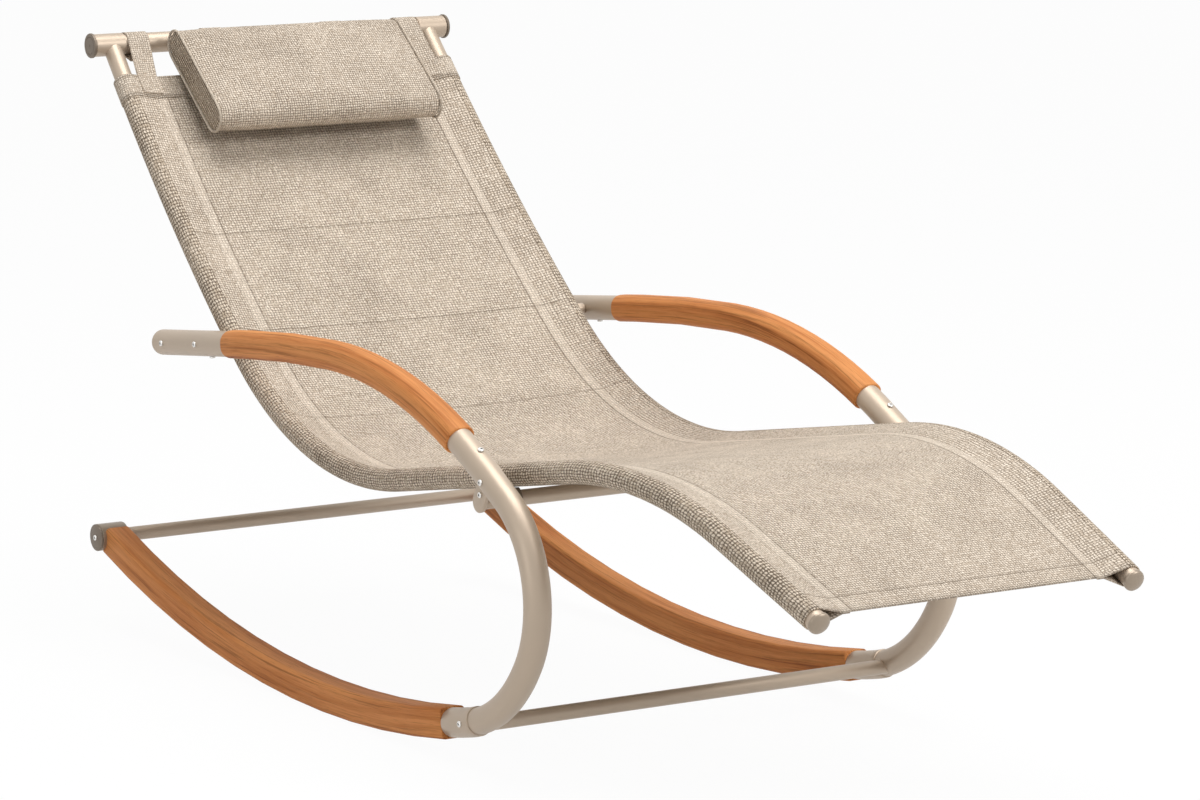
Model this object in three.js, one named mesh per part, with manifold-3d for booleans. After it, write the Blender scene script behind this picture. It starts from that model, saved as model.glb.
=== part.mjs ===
// Rocking chaise lounge: two side frames of bent tube and wood on curved wooden rockers,
// a fabric sling stretched between two bent rails, and a head pillow hung on the top bar.
// Millimetres, +Z up, +X towards the foot end, +Y to the sitter's left.
// Everything is laid out from the lowest point of the rockers, and moved at the end so that
// the origin is in the middle of the footprint, on the ground.
import * as THREE from "three";
import { mergeVertices } from "three/addons/utils/BufferGeometryUtils.js";
import Module from "manifold-3d";

const degrees = Math.PI / 180;

// Clearances
const seatGap = 0.3; // between two pieces that touch
const overrun = 4; // how far a cutter runs past what it cuts
const tubeChordSag = 0.25; // how far a facet's chord may leave its arc
const railChordSag = 0.5;

// Rockers: curved wooden bars that the chair rolls on
const rockerRadius = 1855; // of the sole
const rockerHeight = 39;
const rockerWidth = 36;
const rockerEdge = 6; // rounding of the long edges
const rockerFrontTurn = 9.6 * degrees; // from the lowest point to the front sleeve
const rockerRearTurn = 19.45 * degrees; // from the lowest point to the rear block's axis
const rockerFacetTurn = 2.6 * degrees; // wide enough for the empty chair to come to rest soon
const rockerHalf = 300; // from the middle of the chair to a side frame

// Side frames: tube, armrest and stub in one bent line that starts at the rocker's front
const tubeRadius = 17;
const tubeWall = 1.5;
const toeRadius = 695;
const toeTurn = 3.7 * degrees;
const lowerRadius = 213;
const lowerTurn = 44.7 * degrees;
const frontRadius = 137;
const frontTurn = 91.9 * degrees;
const shoulderRadius = 1339;
const shoulderTurn = 4.2 * degrees;
const armFrontRadius = 725;
const armFrontTurn = 27.4 * degrees;
const armRearRadius = 2442;
const armRearTurn = 5.2 * degrees;
const armrestFrontSetback = 25; // wood starts this far into the armrest's front arc
const armrestRearLength = 44; // of the wood's straight rear end
const stubLength = 197;

// Armrests and their round tenons, which the metal tubes take
const armrestWidth = 40;
const armrestHeight = 36.5;
const armrestCorner = 16;
const armrestNose = 6; // rounding of the rear end
const armrestFrontTenon = 52; // length
const armrestRearTenon = 82;
const rockerTenonLength = 60;
const topScrewSetback = 45; // from the armrest's front end
const sideScrewSetback = 85;
const underScrewSetback = 61; // from the armrest's rear end

// Front sleeves that join the rockers to the bent tubes
const sleeveProud = 1.2; // the sleeve stands this much proud of the tube
const sleeveRadius = tubeRadius + sleeveProud;
const sleeveLength = 64;
const sleeveScrewRun = 47; // from the rocker's front end

// Rear blocks at the ends of the rockers
const blockRadius = 18.5;
const blockOutset = 26; // from the side frame's plane out to the cap's face
const blockInset = 17; // from the side frame's plane in to the block's inner end
const blockOuter = rockerHalf + blockOutset;
const blockInner = rockerHalf - blockInset;
const blockCapThickness = 3;
const blockTenonRadius = 8;
const blockTenonLength = 5.5;

// Crossbars
const barRadius = 9.5;
const barWall = 1.5;
const barSocketGap = 0.3;
const frontBarRun = 76; // along the side frame, from the rocker's front
const frontBarDrop = 5; // below the tube's middle
const backBarSetback = 25; // from the stub's rear end
const seatBarSetback = 40.6; // from the side frame's line, inside its bend

// Sling rails
const railRadius = 12.5;
const railWall = 1.5;
const railCrossRun = 519.1; // along the rail, from the top bar to where it crosses the stub
const railCrossSetback = 126.7; // along the stub, from its rear end to the same point
const railStartTurn = -48.2 * degrees;
const backArcRadius = 3490;
const backArcTurn = 8.9 * degrees;
const seatArcRadius = 502;
const seatArcTurn = 49.4 * degrees;
const thighLength = 390;
const kneeArcRadius = 577;
const kneeArcTurn = -31.3 * degrees;
const calfLength = 184;
const railInset = 41.4; // from the side frame's plane to a rail where the rails are widest apart
const railHalf = rockerHalf - railInset;
const railBowRadius = 15570; // the rails bow in very slightly towards both ends
const railBowX = -120;

// Top bar, tee sleeves and their caps
const topBarRadius = 14;
const topBarWall = 1.5;
const teeRadius = 15.5;
const teeInner = 16.5; // from the rail's axis to the sleeve's inner end
const teeOuter = 32.5; // from the rail's axis to the cap's face
const teeCapRadius = 17;
const teeCapThickness = 4;

// Fabric
const fabricThickness = 1.6;
const sleeveFabricRadius = railRadius + seatGap + fabricThickness;
const sheetTop = 4.5; // the sheet's upper face, above the plane of the rails' axes
const seamSetback = 38; // from the rail's axis to the seam that closes the sleeve
const seamWidth = 4; // where the sleeve's two layers are sewn together
const slingStart = 97.3; // along the rail, from the top bar
const slingEndSetback = 7; // from the rail's foot end
const slingSag = 9;
const sagPoints = 3; // each side of the middle
const bandStart = 62;
const bandEnd = 97;
const bandExtra = 0.8; // the band stands this much proud of the sling
const strapSetback = 45.6; // from the rail's axis at its widest to the strap's middle
const strapMiddle = railHalf - strapSetback;
const strapWidth = 32;
const strapEnd = 92;

// Head pillow
const pillowSetback = 24; // from the strap's inner edge to the pillow's end
const pillowHalf = strapMiddle - strapWidth / 2 - pillowSetback;
const pillowStart = 15; // along the rail, from the top bar
const pillowDepth = 180;
const pillowThickness = 50;
const pillowCrown = 8;
const pillowEndDraw = 3; // the end panels are drawn in by this much at their edge
const pillowLean = 24; // the lower edge stands off the sling by this much
const pillowSlices = 12;
const loopSetback = 78; // from the pillow's end to the loop's middle
const loopMiddle = pillowHalf - loopSetback;
const loopWidth = 30;

// Small parts
const plugFlange = 13.5;
const plugFlangeThickness = 3;
const plugDome = 6;
const plugDepth = 14;
const stubDome = 8;
const lugRadius = 13;
const lugBoltSetback = 11; // from the crossbar's axis towards the tube
const lugThickness = 5;
const saddleRadius = 16;
const saddleWidth = 14;
const saddleOutset = 5; // from under the rail's axis, outwards
const saddleRise = 28; // from the crossbar's axis to the rail's
const spacerRadius = 8;
const screwHeadRadius = 4;
const screwHeadHeight = 2;
const screwSocketRadius = 1.5;
const screwSocketDepth = 1;
const screwShankRadius = 2;
const screwShankLength = 5;
const railBoltSetback = 6; // behind the rail's middle

// Round sections: how many sides each has
const tubeSides = 16;
const boreSides = 10;
const barSides = 14;
const screwSides = 8;

// The flats of a bore are this much nearer to its axis than its corners
const boreShare = Math.cos(Math.PI / boreSides);
const tenonRadius = (tubeRadius - tubeWall) * boreShare - seatGap;

// Finishes
const champagneMetal = new THREE.MeshStandardMaterial({
  color: 0xb3a593,
  metalness: 0.85,
  roughness: 0.38,
});
const darkMetal = new THREE.MeshStandardMaterial({
  color: 0x7d7264,
  metalness: 0.8,
  roughness: 0.45,
});
const screwSteel = new THREE.MeshStandardMaterial({
  color: 0xcfcac2,
  metalness: 0.95,
  roughness: 0.25,
});
const oiledWood = new THREE.MeshStandardMaterial({
  color: 0xb97842,
  metalness: 0,
  roughness: 0.5,
});
const slingFabric = new THREE.MeshStandardMaterial({
  color: 0xc4b79f,
  metalness: 0,
  roughness: 0.9,
});

// A bent line in the upright plane, made of straight runs and arcs that follow each other
class BentLine {
  constructor(start, runs) {
    this.runs = [];
    this.length = 0;
    let from = start;
    for (const run of runs) {
      const turn = run.turn ?? 0;
      const length = run.length ?? run.radius * Math.abs(turn);
      this.runs.push({ ...from, length, turn, begins: this.length });
      this.length += length;
      from = this.at(this.length);
    }
  }

  at(distance) {
    const found = this.runs.findLast((run) => run.begins <= distance) ?? this.runs[0];
    const local = distance - found.begins;
    const turned = (found.turn * local) / found.length;
    const heading = found.heading + turned;
    if (!found.turn) {
      const x = found.x + local * Math.cos(heading);
      return { x, z: found.z + local * Math.sin(heading), heading, distance };
    }
    const radius = found.length / found.turn;
    const x = found.x + radius * (Math.sin(heading) - Math.sin(found.heading));
    const z = found.z + radius * (Math.cos(found.heading) - Math.cos(heading));
    return { x, z, heading, distance };
  }

  // Places along a stretch: its ends, and the facets' ends between them. The facets of a run
  // are the same whatever the stretch, so that pieces that follow the line stay parallel.
  stretch(from, to, chordSag) {
    const places = [this.at(from)];
    for (const run of this.runs) {
      const turn = Math.abs(run.turn);
      const facetTurn = Math.sqrt((8 * chordSag * turn) / run.length);
      const count = turn ? Math.ceil(turn / facetTurn) : 1;
      for (let i = 0; i < count; i++) {
        const distance = run.begins + (run.length * i) / count;
        if (distance > from + overrun && distance < to - overrun) places.push(this.at(distance));
      }
    }
    places.push(this.at(to));
    return places;
  }
}

// A place's left side, seen along the line
const leftOf = (place) => [-Math.sin(place.heading), Math.cos(place.heading)];

// The place at an offset to the left of a line
function beside(place, offset) {
  const [leftX, leftZ] = leftOf(place);
  return { ...place, x: place.x + offset * leftX, z: place.z + offset * leftZ };
}

// Outlines
function circle(radius, sides, x = 0, y = 0) {
  const points = [];
  for (let i = 0; i < sides; i++) {
    const angle = (2 * Math.PI * (i + 1 / 2)) / sides;
    points.push(new THREE.Vector2(x + radius * Math.cos(angle), y + radius * Math.sin(angle)));
  }
  return points;
}

function roundedBox(width, height, corner, perCorner) {
  const points = [];
  for (let quarter = 0; quarter < 4; quarter++) {
    const sideX = quarter === 0 || quarter === 3 ? 1 : -1;
    const sideY = quarter < 2 ? 1 : -1;
    for (let i = 0; i <= perCorner; i++) {
      const angle = (Math.PI / 2) * (quarter + i / perCorner);
      const x = sideX * (width / 2 - corner) + corner * Math.cos(angle);
      points.push(new THREE.Vector2(x, sideY * (height / 2 - corner) + corner * Math.sin(angle)));
    }
  }
  return points;
}

function shapeOf(outline, ...holes) {
  const shape = new THREE.Shape(outline);
  for (const hole of holes) shape.holes.push(new THREE.Path(hole));
  return shape;
}

// A hole whose flats stay clear of a round of this radius
const holeRadius = (radius, sides) => radius / Math.cos(Math.PI / sides);

const ring = (outer, inner, sides = tubeSides) =>
  shapeOf(circle(outer, sides), circle(inner, boreSides));

// A section drawn in width and height, carried along a bent line. adjust moves a section's
// points at one place: it gets the width and height, and returns them.
function sweep(shape, places, adjust = (width, height) => [width, height]) {
  const steps = places.length - 1;
  const solid = new THREE.ExtrudeGeometry(shape, { depth: steps, steps, bevelEnabled: false });
  const points = solid.attributes.position;
  for (let i = 0; i < points.count; i++) {
    const place = places[Math.round(points.getZ(i))];
    const [width, height] = adjust(points.getX(i), points.getY(i), place);
    const [leftX, leftZ] = leftOf(place);
    points.setXYZ(i, place.x + height * leftX, width, place.z + height * leftZ);
  }
  return solid;
}

// A shape drawn in X and Z, as thick as from one Y to another
function across(shape, fromY, toY) {
  const solid = new THREE.ExtrudeGeometry(shape, { depth: toY - fromY, bevelEnabled: false });
  return solid.rotateX(Math.PI / 2).translate(0, toY, 0);
}

// A turned piece: its profile in radius and height stands on a point and looks along a direction
function turned(profile, sides, origin, direction) {
  const points = profile.map(([radius, height]) => new THREE.Vector2(radius, height));
  const solid = new THREE.LatheGeometry(points, sides);
  const upright = new THREE.Vector3(0, 1, 0);
  const turn = new THREE.Quaternion().setFromUnitVectors(upright, direction.clone().normalize());
  return solid.applyQuaternion(turn).translate(origin.x, origin.y, origin.z);
}

const rod = (radius, from, to, sides = tubeSides) => {
  const along = to.clone().sub(from);
  const profile = [
    [0, 0],
    [radius, 0],
    [radius, along.length()],
    [0, along.length()],
  ];
  return turned(profile, sides, from, along);
};

// Joining and cutting of closed solids
const wasm = await Module();
wasm.setup();

function solidOf(geometry) {
  const bare = new THREE.BufferGeometry();
  const plain = geometry.index ? geometry.toNonIndexed() : geometry;
  bare.setAttribute("position", plain.attributes.position.clone());
  const merged = mergeVertices(bare, seatGap / 100);
  const vertProperties = new Float32Array(merged.attributes.position.array);
  const triVerts = new Uint32Array(merged.index.array);
  return new wasm.Manifold(new wasm.Mesh({ numProp: 3, vertProperties, triVerts }));
}

function geometryOf(solid) {
  const { vertProperties, triVerts, numProp } = solid.getMesh();
  const points = new Float32Array((vertProperties.length / numProp) * 3);
  for (let i = 0; i < points.length / 3; i++) {
    points.set(vertProperties.subarray(i * numProp, i * numProp + 3), i * 3);
  }
  const geometry = new THREE.BufferGeometry();
  geometry.setAttribute("position", new THREE.BufferAttribute(points, 3));
  return geometry.setIndex(new THREE.BufferAttribute(new Uint32Array(triVerts), 1));
}

const joined = (first, ...others) =>
  geometryOf(others.reduce((sum, other) => sum.add(solidOf(other)), solidOf(first)));

const cut = (first, ...cutters) =>
  geometryOf(cutters.reduce((rest, cutter) => rest.subtract(solidOf(cutter)), solidOf(first)));

const chair = new THREE.Group();

function add(name, geometry, material) {
  geometry.computeVertexNormals();
  const mesh = new THREE.Mesh(geometry, material);
  mesh.name = name;
  chair.add(mesh);
}

// The two sides: the sitter's right is at -Y
const sides = [
  ["right", -1],
  ["left", 1],
];
const outward = (side) => new THREE.Vector3(0, side, 0);
const spot = (place, y) => new THREE.Vector3(place.x, y, place.z);

// The three bent lines that everything follows
const rockerMiddle = rockerRadius - rockerHeight / 2;
const onRocker = (angle) => ({
  x: rockerMiddle * Math.sin(angle),
  z: rockerRadius - rockerMiddle * Math.cos(angle),
  heading: angle,
});
const frameLine = new BentLine(onRocker(rockerFrontTurn), [
  { radius: toeRadius, turn: toeTurn },
  { radius: lowerRadius, turn: lowerTurn },
  { radius: frontRadius, turn: frontTurn },
  { radius: shoulderRadius, turn: shoulderTurn },
  { radius: armFrontRadius, turn: armFrontTurn },
  { radius: armRearRadius, turn: armRearTurn },
  { length: armrestRearLength + stubLength },
]);
const railRuns = [
  { radius: backArcRadius, turn: backArcTurn },
  { radius: seatArcRadius, turn: seatArcTurn },
  { length: thighLength },
  { radius: kneeArcRadius, turn: kneeArcTurn },
  { length: calfLength },
];
const railFrom = (x, z) => new BentLine({ x, z, heading: railStartTurn }, railRuns);

// The rail hangs on the stub, so the top bar is as far from there as the rail reaches
const onStub = frameLine.at(frameLine.length - railCrossSetback);
const reached = railFrom(0, 0).at(railCrossRun);
const topBarX = onStub.x - reached.x;
const topBarZ = onStub.z - reached.z;
const railLine = railFrom(topBarX, topBarZ);
const armFront = frameLine.runs[4].begins + armrestFrontSetback;
const stubStart = frameLine.runs[6].begins + armrestRearLength;
const stubEnd = frameLine.length;

// How far a rail is from the middle of the chair at a place along it
const railY = (place) => railHalf - (place.x - railBowX) ** 2 / (2 * railBowRadius);

// Where the stub's line crosses the sling rail, seen from the side
function stubOnRail() {
  const stub = frameLine.at(stubEnd);
  const [leftX, leftZ] = leftOf(stub);
  let near = 0;
  let far = frameLine.length / 2;
  while (far - near > seatGap / 10) {
    const middle = (near + far) / 2;
    const place = railLine.at(middle);
    if ((place.x - stub.x) * leftX + (place.z - stub.z) * leftZ < 0) near = middle;
    else far = middle;
  }
  const place = railLine.at(near);
  const back = railBoltSetback;
  return {
    ...place,
    x: place.x + back * Math.cos(stub.heading),
    z: place.z + back * Math.sin(stub.heading),
  };
}
const crossing = stubOnRail();

// The place on a stretch of a line that is nearest to a point
function nearestOn(line, point, from, to) {
  const away = (place) => Math.hypot(place.x - point.x, place.z - point.z);
  let low = from;
  let high = to;
  while (high - low > seatGap / 100) {
    const third = (high - low) / 3;
    if (away(line.at(low + third)) < away(line.at(high - third))) high -= third;
    else low += third;
  }
  return line.at(low);
}
const tubeNear = (point) => nearestOn(frameLine, point, frameLine.runs[2].begins, armFront);

// The seat crossbar lies below the rail's thigh, as far behind the side frame's line as its lugs
// reach. Here its place along the rail is found.
const underRail = (run) => beside(railLine.at(run), -saddleRise);
function seatBarRunOnRail() {
  let near = railLine.runs[2].begins;
  let far = railLine.runs[4].begins;
  while (far - near > seatGap / 100) {
    const middle = (near + far) / 2;
    const point = underRail(middle);
    const tube = tubeNear(point);
    const [leftX, leftZ] = leftOf(tube);
    const inside = (point.x - tube.x) * leftX + (point.z - tube.z) * leftZ;
    if (inside > seatBarSetback) near = middle;
    else far = middle;
  }
  return near;
}
const seatBarRun = seatBarRunOnRail();

// Crossbar axes
const rearBlock = onRocker(-rockerRearTurn);
const frontBar = beside(frameLine.at(frontBarRun), -frontBarDrop);
const backBar = frameLine.at(stubEnd - backBarSetback);
const seatBar = underRail(seatBarRun);

// Screws: a low domed head with a socket, on a short shank
const screwProfile = [
  [0, -screwShankLength],
  [screwShankRadius, -screwShankLength],
  [screwShankRadius, 0],
  [screwHeadRadius, 0],
  [screwHeadRadius * 0.9, screwHeadHeight * 0.6],
  [screwSocketRadius, screwHeadHeight],
  [screwSocketRadius, screwHeadHeight - screwSocketDepth],
  [0, screwHeadHeight - screwSocketDepth],
];

const screw = (origin, direction) => turned(screwProfile, screwSides, origin, direction);

const screwHole = (origin, direction) =>
  rod(
    holeRadius(screwShankRadius + seatGap, screwSides),
    origin.clone().addScaledVector(direction, -screwShankLength - seatGap),
    origin.clone().addScaledVector(direction, overrun),
    screwSides,
  );

const upFrom = (place) => new THREE.Vector3(Math.sin(place.heading), 0, -Math.cos(place.heading));

// A screw on the outside of a side frame's tube
const onTubeSide = (place, side) => [spot(place, side * (rockerHalf + tubeRadius)), outward(side)];

// The screw through a front sleeve into the rocker's tenon
const sleeveScrew = (side) => {
  const place = frameLine.at(sleeveScrewRun);
  return [spot(place, side * (rockerHalf + sleeveRadius + seatGap)), outward(side)];
};

// Rockers
const rockerSection = shapeOf(roundedBox(rockerWidth, rockerHeight, rockerEdge, 2));
const rockerEnd = (blockRadius + seatGap) / rockerMiddle;

function rockerPlaces() {
  const angles = [-rockerRearTurn + rockerEnd];
  const first = Math.ceil(-rockerRearTurn / rockerFacetTurn) + 1 / 2;
  for (let angle = first * rockerFacetTurn; angle < rockerFrontTurn; angle += rockerFacetTurn) {
    const clear = rockerFacetTurn / 4;
    if (angle > angles[0] + clear && angle < rockerFrontTurn - clear) angles.push(angle);
  }
  angles.push(rockerFrontTurn);
  return angles.map(onRocker);
}

for (const [name, side] of sides) {
  const places = rockerPlaces();
  const [rear] = places;
  const forward = new THREE.Vector3(Math.cos(rear.heading), 0, Math.sin(rear.heading));
  const y = side * rockerHalf;
  const rearTenon = rod(
    blockTenonRadius,
    spot(rear, y).addScaledVector(forward, -blockTenonLength),
    spot(rear, y).addScaledVector(forward, overrun),
    barSides,
  );
  const tenonShape = shapeOf(circle(tenonRadius, tubeSides));
  const tenonPlaces = frameLine.stretch(-overrun, rockerTenonLength, tubeChordSag);
  const frontTenon = sweep(tenonShape, tenonPlaces).translate(0, y, 0);
  const bar = sweep(rockerSection, places).translate(0, y, 0);
  const [screwAt] = sleeveScrew(side);
  const wood = cut(joined(bar, frontTenon, rearTenon), screwHole(screwAt, outward(side)));
  add(`${name}_rocker`, wood, oiledWood);
}

// Front sleeves and their screws
for (const [name, side] of sides) {
  const y = side * rockerHalf;
  const places = frameLine.stretch(seatGap, sleeveLength, tubeChordSag);
  const bore = holeRadius(tubeRadius + seatGap, tubeSides);
  const shape = shapeOf(circle(sleeveRadius + seatGap, tubeSides), circle(bore, tubeSides));
  const [origin, direction] = sleeveScrew(side);
  const drilled = cut(sweep(shape, places).translate(0, y, 0), screwHole(origin, direction));
  add(`${name}_rocker_sleeve`, drilled, champagneMetal);
  add(`${name}_sleeve_screw`, screw(origin, direction), screwSteel);
}

// A solid of the side frame's tube, which cuts what meets it
const tubeCutter = (side) =>
  sweep(
    shapeOf(circle(holeRadius(tubeRadius + seatGap, tubeSides), tubeSides)),
    frameLine.stretch(0, frameLine.length, tubeChordSag),
  ).translate(0, side * rockerHalf, 0);

// Bent front tubes
const topScrewPlace = frameLine.at(armFront - topScrewSetback);
const sideScrewPlace = frameLine.at(armFront - sideScrewSetback);
for (const [name, side] of sides) {
  const y = side * rockerHalf;
  const places = frameLine.stretch(seatGap, armFront - seatGap, tubeChordSag);
  const tube = sweep(ring(tubeRadius, tubeRadius - tubeWall), places).translate(0, y, 0);
  const topScrew = spot(beside(topScrewPlace, -tubeRadius), y);
  const [sideScrew] = onTubeSide(sideScrewPlace, side);
  const up = upFrom(topScrewPlace);
  const [sleeveScrewAt] = sleeveScrew(side);
  const drilled = cut(
    tube,
    screwHole(topScrew, up),
    screwHole(sideScrew, outward(side)),
    screwHole(sleeveScrewAt, outward(side)),
  );
  add(`${name}_front_tube`, drilled, champagneMetal);
  add(`${name}_tube_top_screw`, screw(topScrew, up), screwSteel);
  add(`${name}_tube_side_screw`, screw(sideScrew, outward(side)), screwSteel);
}

// Armrests
const armSection = shapeOf(roundedBox(armrestWidth, armrestHeight, armrestCorner, 4));
for (const [name, side] of sides) {
  const y = side * rockerHalf;
  const noseStart = stubStart - armrestNose;
  const places = frameLine.stretch(armFront, noseStart, tubeChordSag);
  places.push(frameLine.at(stubStart - armrestNose / 3), frameLine.at(stubStart));
  const noseShare = (place) =>
    THREE.MathUtils.clamp((place.distance - noseStart) / armrestNose, 0, 1);
  const narrow = (place) => armrestNose * (1 - Math.sqrt(1 - noseShare(place) ** 2)) * 0.8;
  const wood = sweep(armSection, places, (width, height, place) => [
    width * (1 - (2 * narrow(place)) / armrestWidth),
    height * (1 - (2 * narrow(place)) / armrestHeight),
  ]);
  const tenonShape = shapeOf(circle(tenonRadius, tubeSides));
  const frontEnd = armFront - armrestFrontTenon;
  const frontTenon = frameLine.stretch(frontEnd, armFront + overrun, tubeChordSag);
  const rearEnd = stubStart + armrestRearTenon;
  const rearTenon = frameLine.stretch(stubStart - 2 * armrestNose, rearEnd, tubeChordSag);
  const solid = joined(wood, sweep(tenonShape, frontTenon), sweep(tenonShape, rearTenon));
  const topScrew = spot(beside(topScrewPlace, -tubeRadius), 0);
  const underPlace = frameLine.at(stubStart + underScrewSetback);
  const under = spot(beside(underPlace, tubeRadius), 0);
  const down = upFrom(underPlace).negate();
  const bolt = spot(crossing, side * tubeRadius);
  const holes = [
    screwHole(topScrew, upFrom(topScrewPlace)),
    screwHole(under, down),
    screwHole(bolt, outward(side)),
  ];
  add(`${name}_armrest`, cut(solid, ...holes).translate(0, y, 0), oiledWood);
}

// Arm stubs behind the armrests, with their domed plugs and screws
for (const [name, side] of sides) {
  const y = side * rockerHalf;
  const places = frameLine.stretch(stubStart + seatGap, stubEnd, tubeChordSag);
  const tube = sweep(ring(tubeRadius, tubeRadius - tubeWall), places).translate(0, y, 0);
  const endPlace = frameLine.at(stubEnd);
  const rearward = new THREE.Vector3(Math.cos(endPlace.heading), 0, Math.sin(endPlace.heading));
  const [barScrew] = onTubeSide(backBar, side);
  const [railBolt] = onTubeSide(crossing, side);
  const underPlace = frameLine.at(stubStart + underScrewSetback);
  const under = spot(beside(underPlace, tubeRadius), y);
  const down = upFrom(underPlace).negate();
  const holes = [
    screwHole(barScrew, outward(side)),
    screwHole(railBolt, outward(side)),
    screwHole(under, down),
  ];
  add(`${name}_arm_stub`, cut(tube, ...holes), champagneMetal);
  const plugBore = (tubeRadius - tubeWall) * boreShare - seatGap;
  const plug = [
    [0, -plugDepth],
    [plugBore, -plugDepth],
    [plugBore, seatGap],
    [tubeRadius, seatGap],
    [tubeRadius * 0.96, stubDome * 0.45],
    [tubeRadius * 0.78, stubDome * 0.85],
    [0, stubDome],
  ];
  const plugSolid = turned(plug, tubeSides, spot(endPlace, y), rearward);
  add(`${name}_stub_plug`, plugSolid, champagneMetal);
  add(`${name}_stub_end_screw`, screw(barScrew, outward(side)), screwSteel);
  add(`${name}_rail_bolt`, screw(railBolt, outward(side)), screwSteel);
  add(`${name}_stub_under_screw`, screw(under, down), screwSteel);
  const spacerInner = side * (railY(crossing) + sleeveFabricRadius + seatGap);
  const spacerOuter = side * (rockerHalf - tubeRadius - seatGap);
  const spacer = rod(spacerRadius, spot(crossing, spacerInner), spot(crossing, spacerOuter), barSides);
  add(`${name}_rail_spacer`, spacer, champagneMetal);
}

// Crossbars: the rear one runs through the blocks, and the others meet the tubes
const barShape = (place, sides = barSides) =>
  shapeOf(circle(barRadius, sides, place.x, place.z), circle(barRadius - barWall, boreSides, place.x, place.z));
const rearBarHalf = blockOuter - blockCapThickness - seatGap;
add("rear_crossbar", across(barShape(rearBlock), -rearBarHalf, rearBarHalf), champagneMetal);
for (const [name, place] of [
  ["front_crossbar", frontBar],
  ["back_crossbar", backBar],
]) {
  const reach = rockerHalf - tubeRadius / 2;
  const bar = across(barShape(place), -reach, reach);
  add(name, cut(bar, tubeCutter(-1), tubeCutter(1)), champagneMetal);
}
const lugInner = rockerHalf - lugThickness / 2;
const seatBarHalf = lugInner - seatGap;
add("seat_crossbar", across(barShape(seatBar), -seatBarHalf, seatBarHalf), champagneMetal);

// Rear blocks on the crossbar, their caps and cap screws
for (const [name, side] of sides) {
  const faces = [side * blockInner, side * (blockOuter - blockCapThickness - seatGap)];
  const fromY = Math.min(...faces);
  const toY = Math.max(...faces);
  const socket = holeRadius(barRadius + barSocketGap, tubeSides);
  const shape = shapeOf(
    circle(blockRadius, tubeSides, rearBlock.x, rearBlock.z),
    circle(socket, tubeSides, rearBlock.x, rearBlock.z),
  );
  const rear = onRocker(-rockerRearTurn + rockerEnd);
  const forward = new THREE.Vector3(Math.cos(rear.heading), 0, Math.sin(rear.heading));
  const hole = rod(
    holeRadius(blockTenonRadius + seatGap, barSides),
    spot(rearBlock, side * rockerHalf),
    spot(rear, side * rockerHalf).addScaledVector(forward, overrun),
    barSides,
  );
  add(`${name}_rear_block`, cut(across(shape, fromY, toY), hole), champagneMetal);
  const capBack = spot(rearBlock, side * (blockOuter - blockCapThickness));
  const capSpigot = (barRadius - barWall) * boreShare - seatGap;
  const cap = turned(
    [
      [0, -plugDepth],
      [capSpigot, -plugDepth],
      [capSpigot, 0],
      [blockRadius, 0],
      [blockRadius, blockCapThickness * 0.7],
      [blockRadius * 0.93, blockCapThickness],
      [0, blockCapThickness],
    ],
    tubeSides,
    capBack,
    outward(side),
  );
  const origin = spot(rearBlock, side * blockOuter);
  add(`${name}_block_cap`, cut(cap, screwHole(origin, outward(side))), darkMetal);
  add(`${name}_block_screw`, screw(origin, outward(side)), screwSteel);
}

// Lugs that carry the seat crossbar on the front tubes, and their bolts
for (const [name, side] of sides) {
  const middle = side * rockerHalf;
  const nearest = tubeNear(seatBar);
  const toTube = new THREE.Vector2(nearest.x - seatBar.x, nearest.z - seatBar.z).normalize();
  const plate = [];
  for (let i = 0; i <= barSides; i++) {
    const angle = toTube.angle() + Math.PI / 2 + (Math.PI * i) / barSides;
    plate.push(
      new THREE.Vector2(seatBar.x + lugRadius * Math.cos(angle), seatBar.z + lugRadius * Math.sin(angle)),
    );
  }
  const reach = Math.hypot(nearest.x - seatBar.x, nearest.z - seatBar.z);
  for (const end of [plate[barSides], plate[0]]) plate.push(end.clone().addScaledVector(toTube, reach));
  const half = lugThickness / 2;
  const lug = across(shapeOf(plate), middle - half, middle + half);
  const bolt = new THREE.Vector2(seatBar.x, seatBar.z).addScaledVector(toTube, lugBoltSetback);
  const origin = spot({ x: bolt.x, z: bolt.y }, side * (rockerHalf + half));
  const drilled = cut(lug, tubeCutter(side), screwHole(origin, outward(side)));
  add(`${name}_seat_lug`, drilled, champagneMetal);
  add(`${name}_lug_bolt`, screw(origin, outward(side)), screwSteel);
}

// Saddles on the seat crossbar, where the rails rest
const saddleRail = railLine.at(seatBarRun);
for (const [name, side] of sides) {
  const railSide = side * railY(saddleRail);
  const middle = railSide + side * saddleOutset;
  const bore = holeRadius(barRadius + seatGap, tubeSides);
  const shape = shapeOf(
    circle(saddleRadius, tubeSides, seatBar.x, seatBar.z),
    circle(bore, tubeSides, seatBar.x, seatBar.z),
  );
  const blank = across(shape, middle - saddleWidth / 2, middle + saddleWidth / 2);
  const along = new THREE.Vector3(Math.cos(saddleRail.heading), 0, Math.sin(saddleRail.heading));
  const clear = holeRadius(sleeveFabricRadius + 2 * seatGap, tubeSides);
  const seat = rod(
    clear,
    spot(saddleRail, railSide).addScaledVector(along, -2 * saddleRadius),
    spot(saddleRail, railSide).addScaledVector(along, 2 * saddleRadius),
  );
  add(`${name}_rail_saddle`, cut(blank, seat), darkMetal);
}

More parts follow.
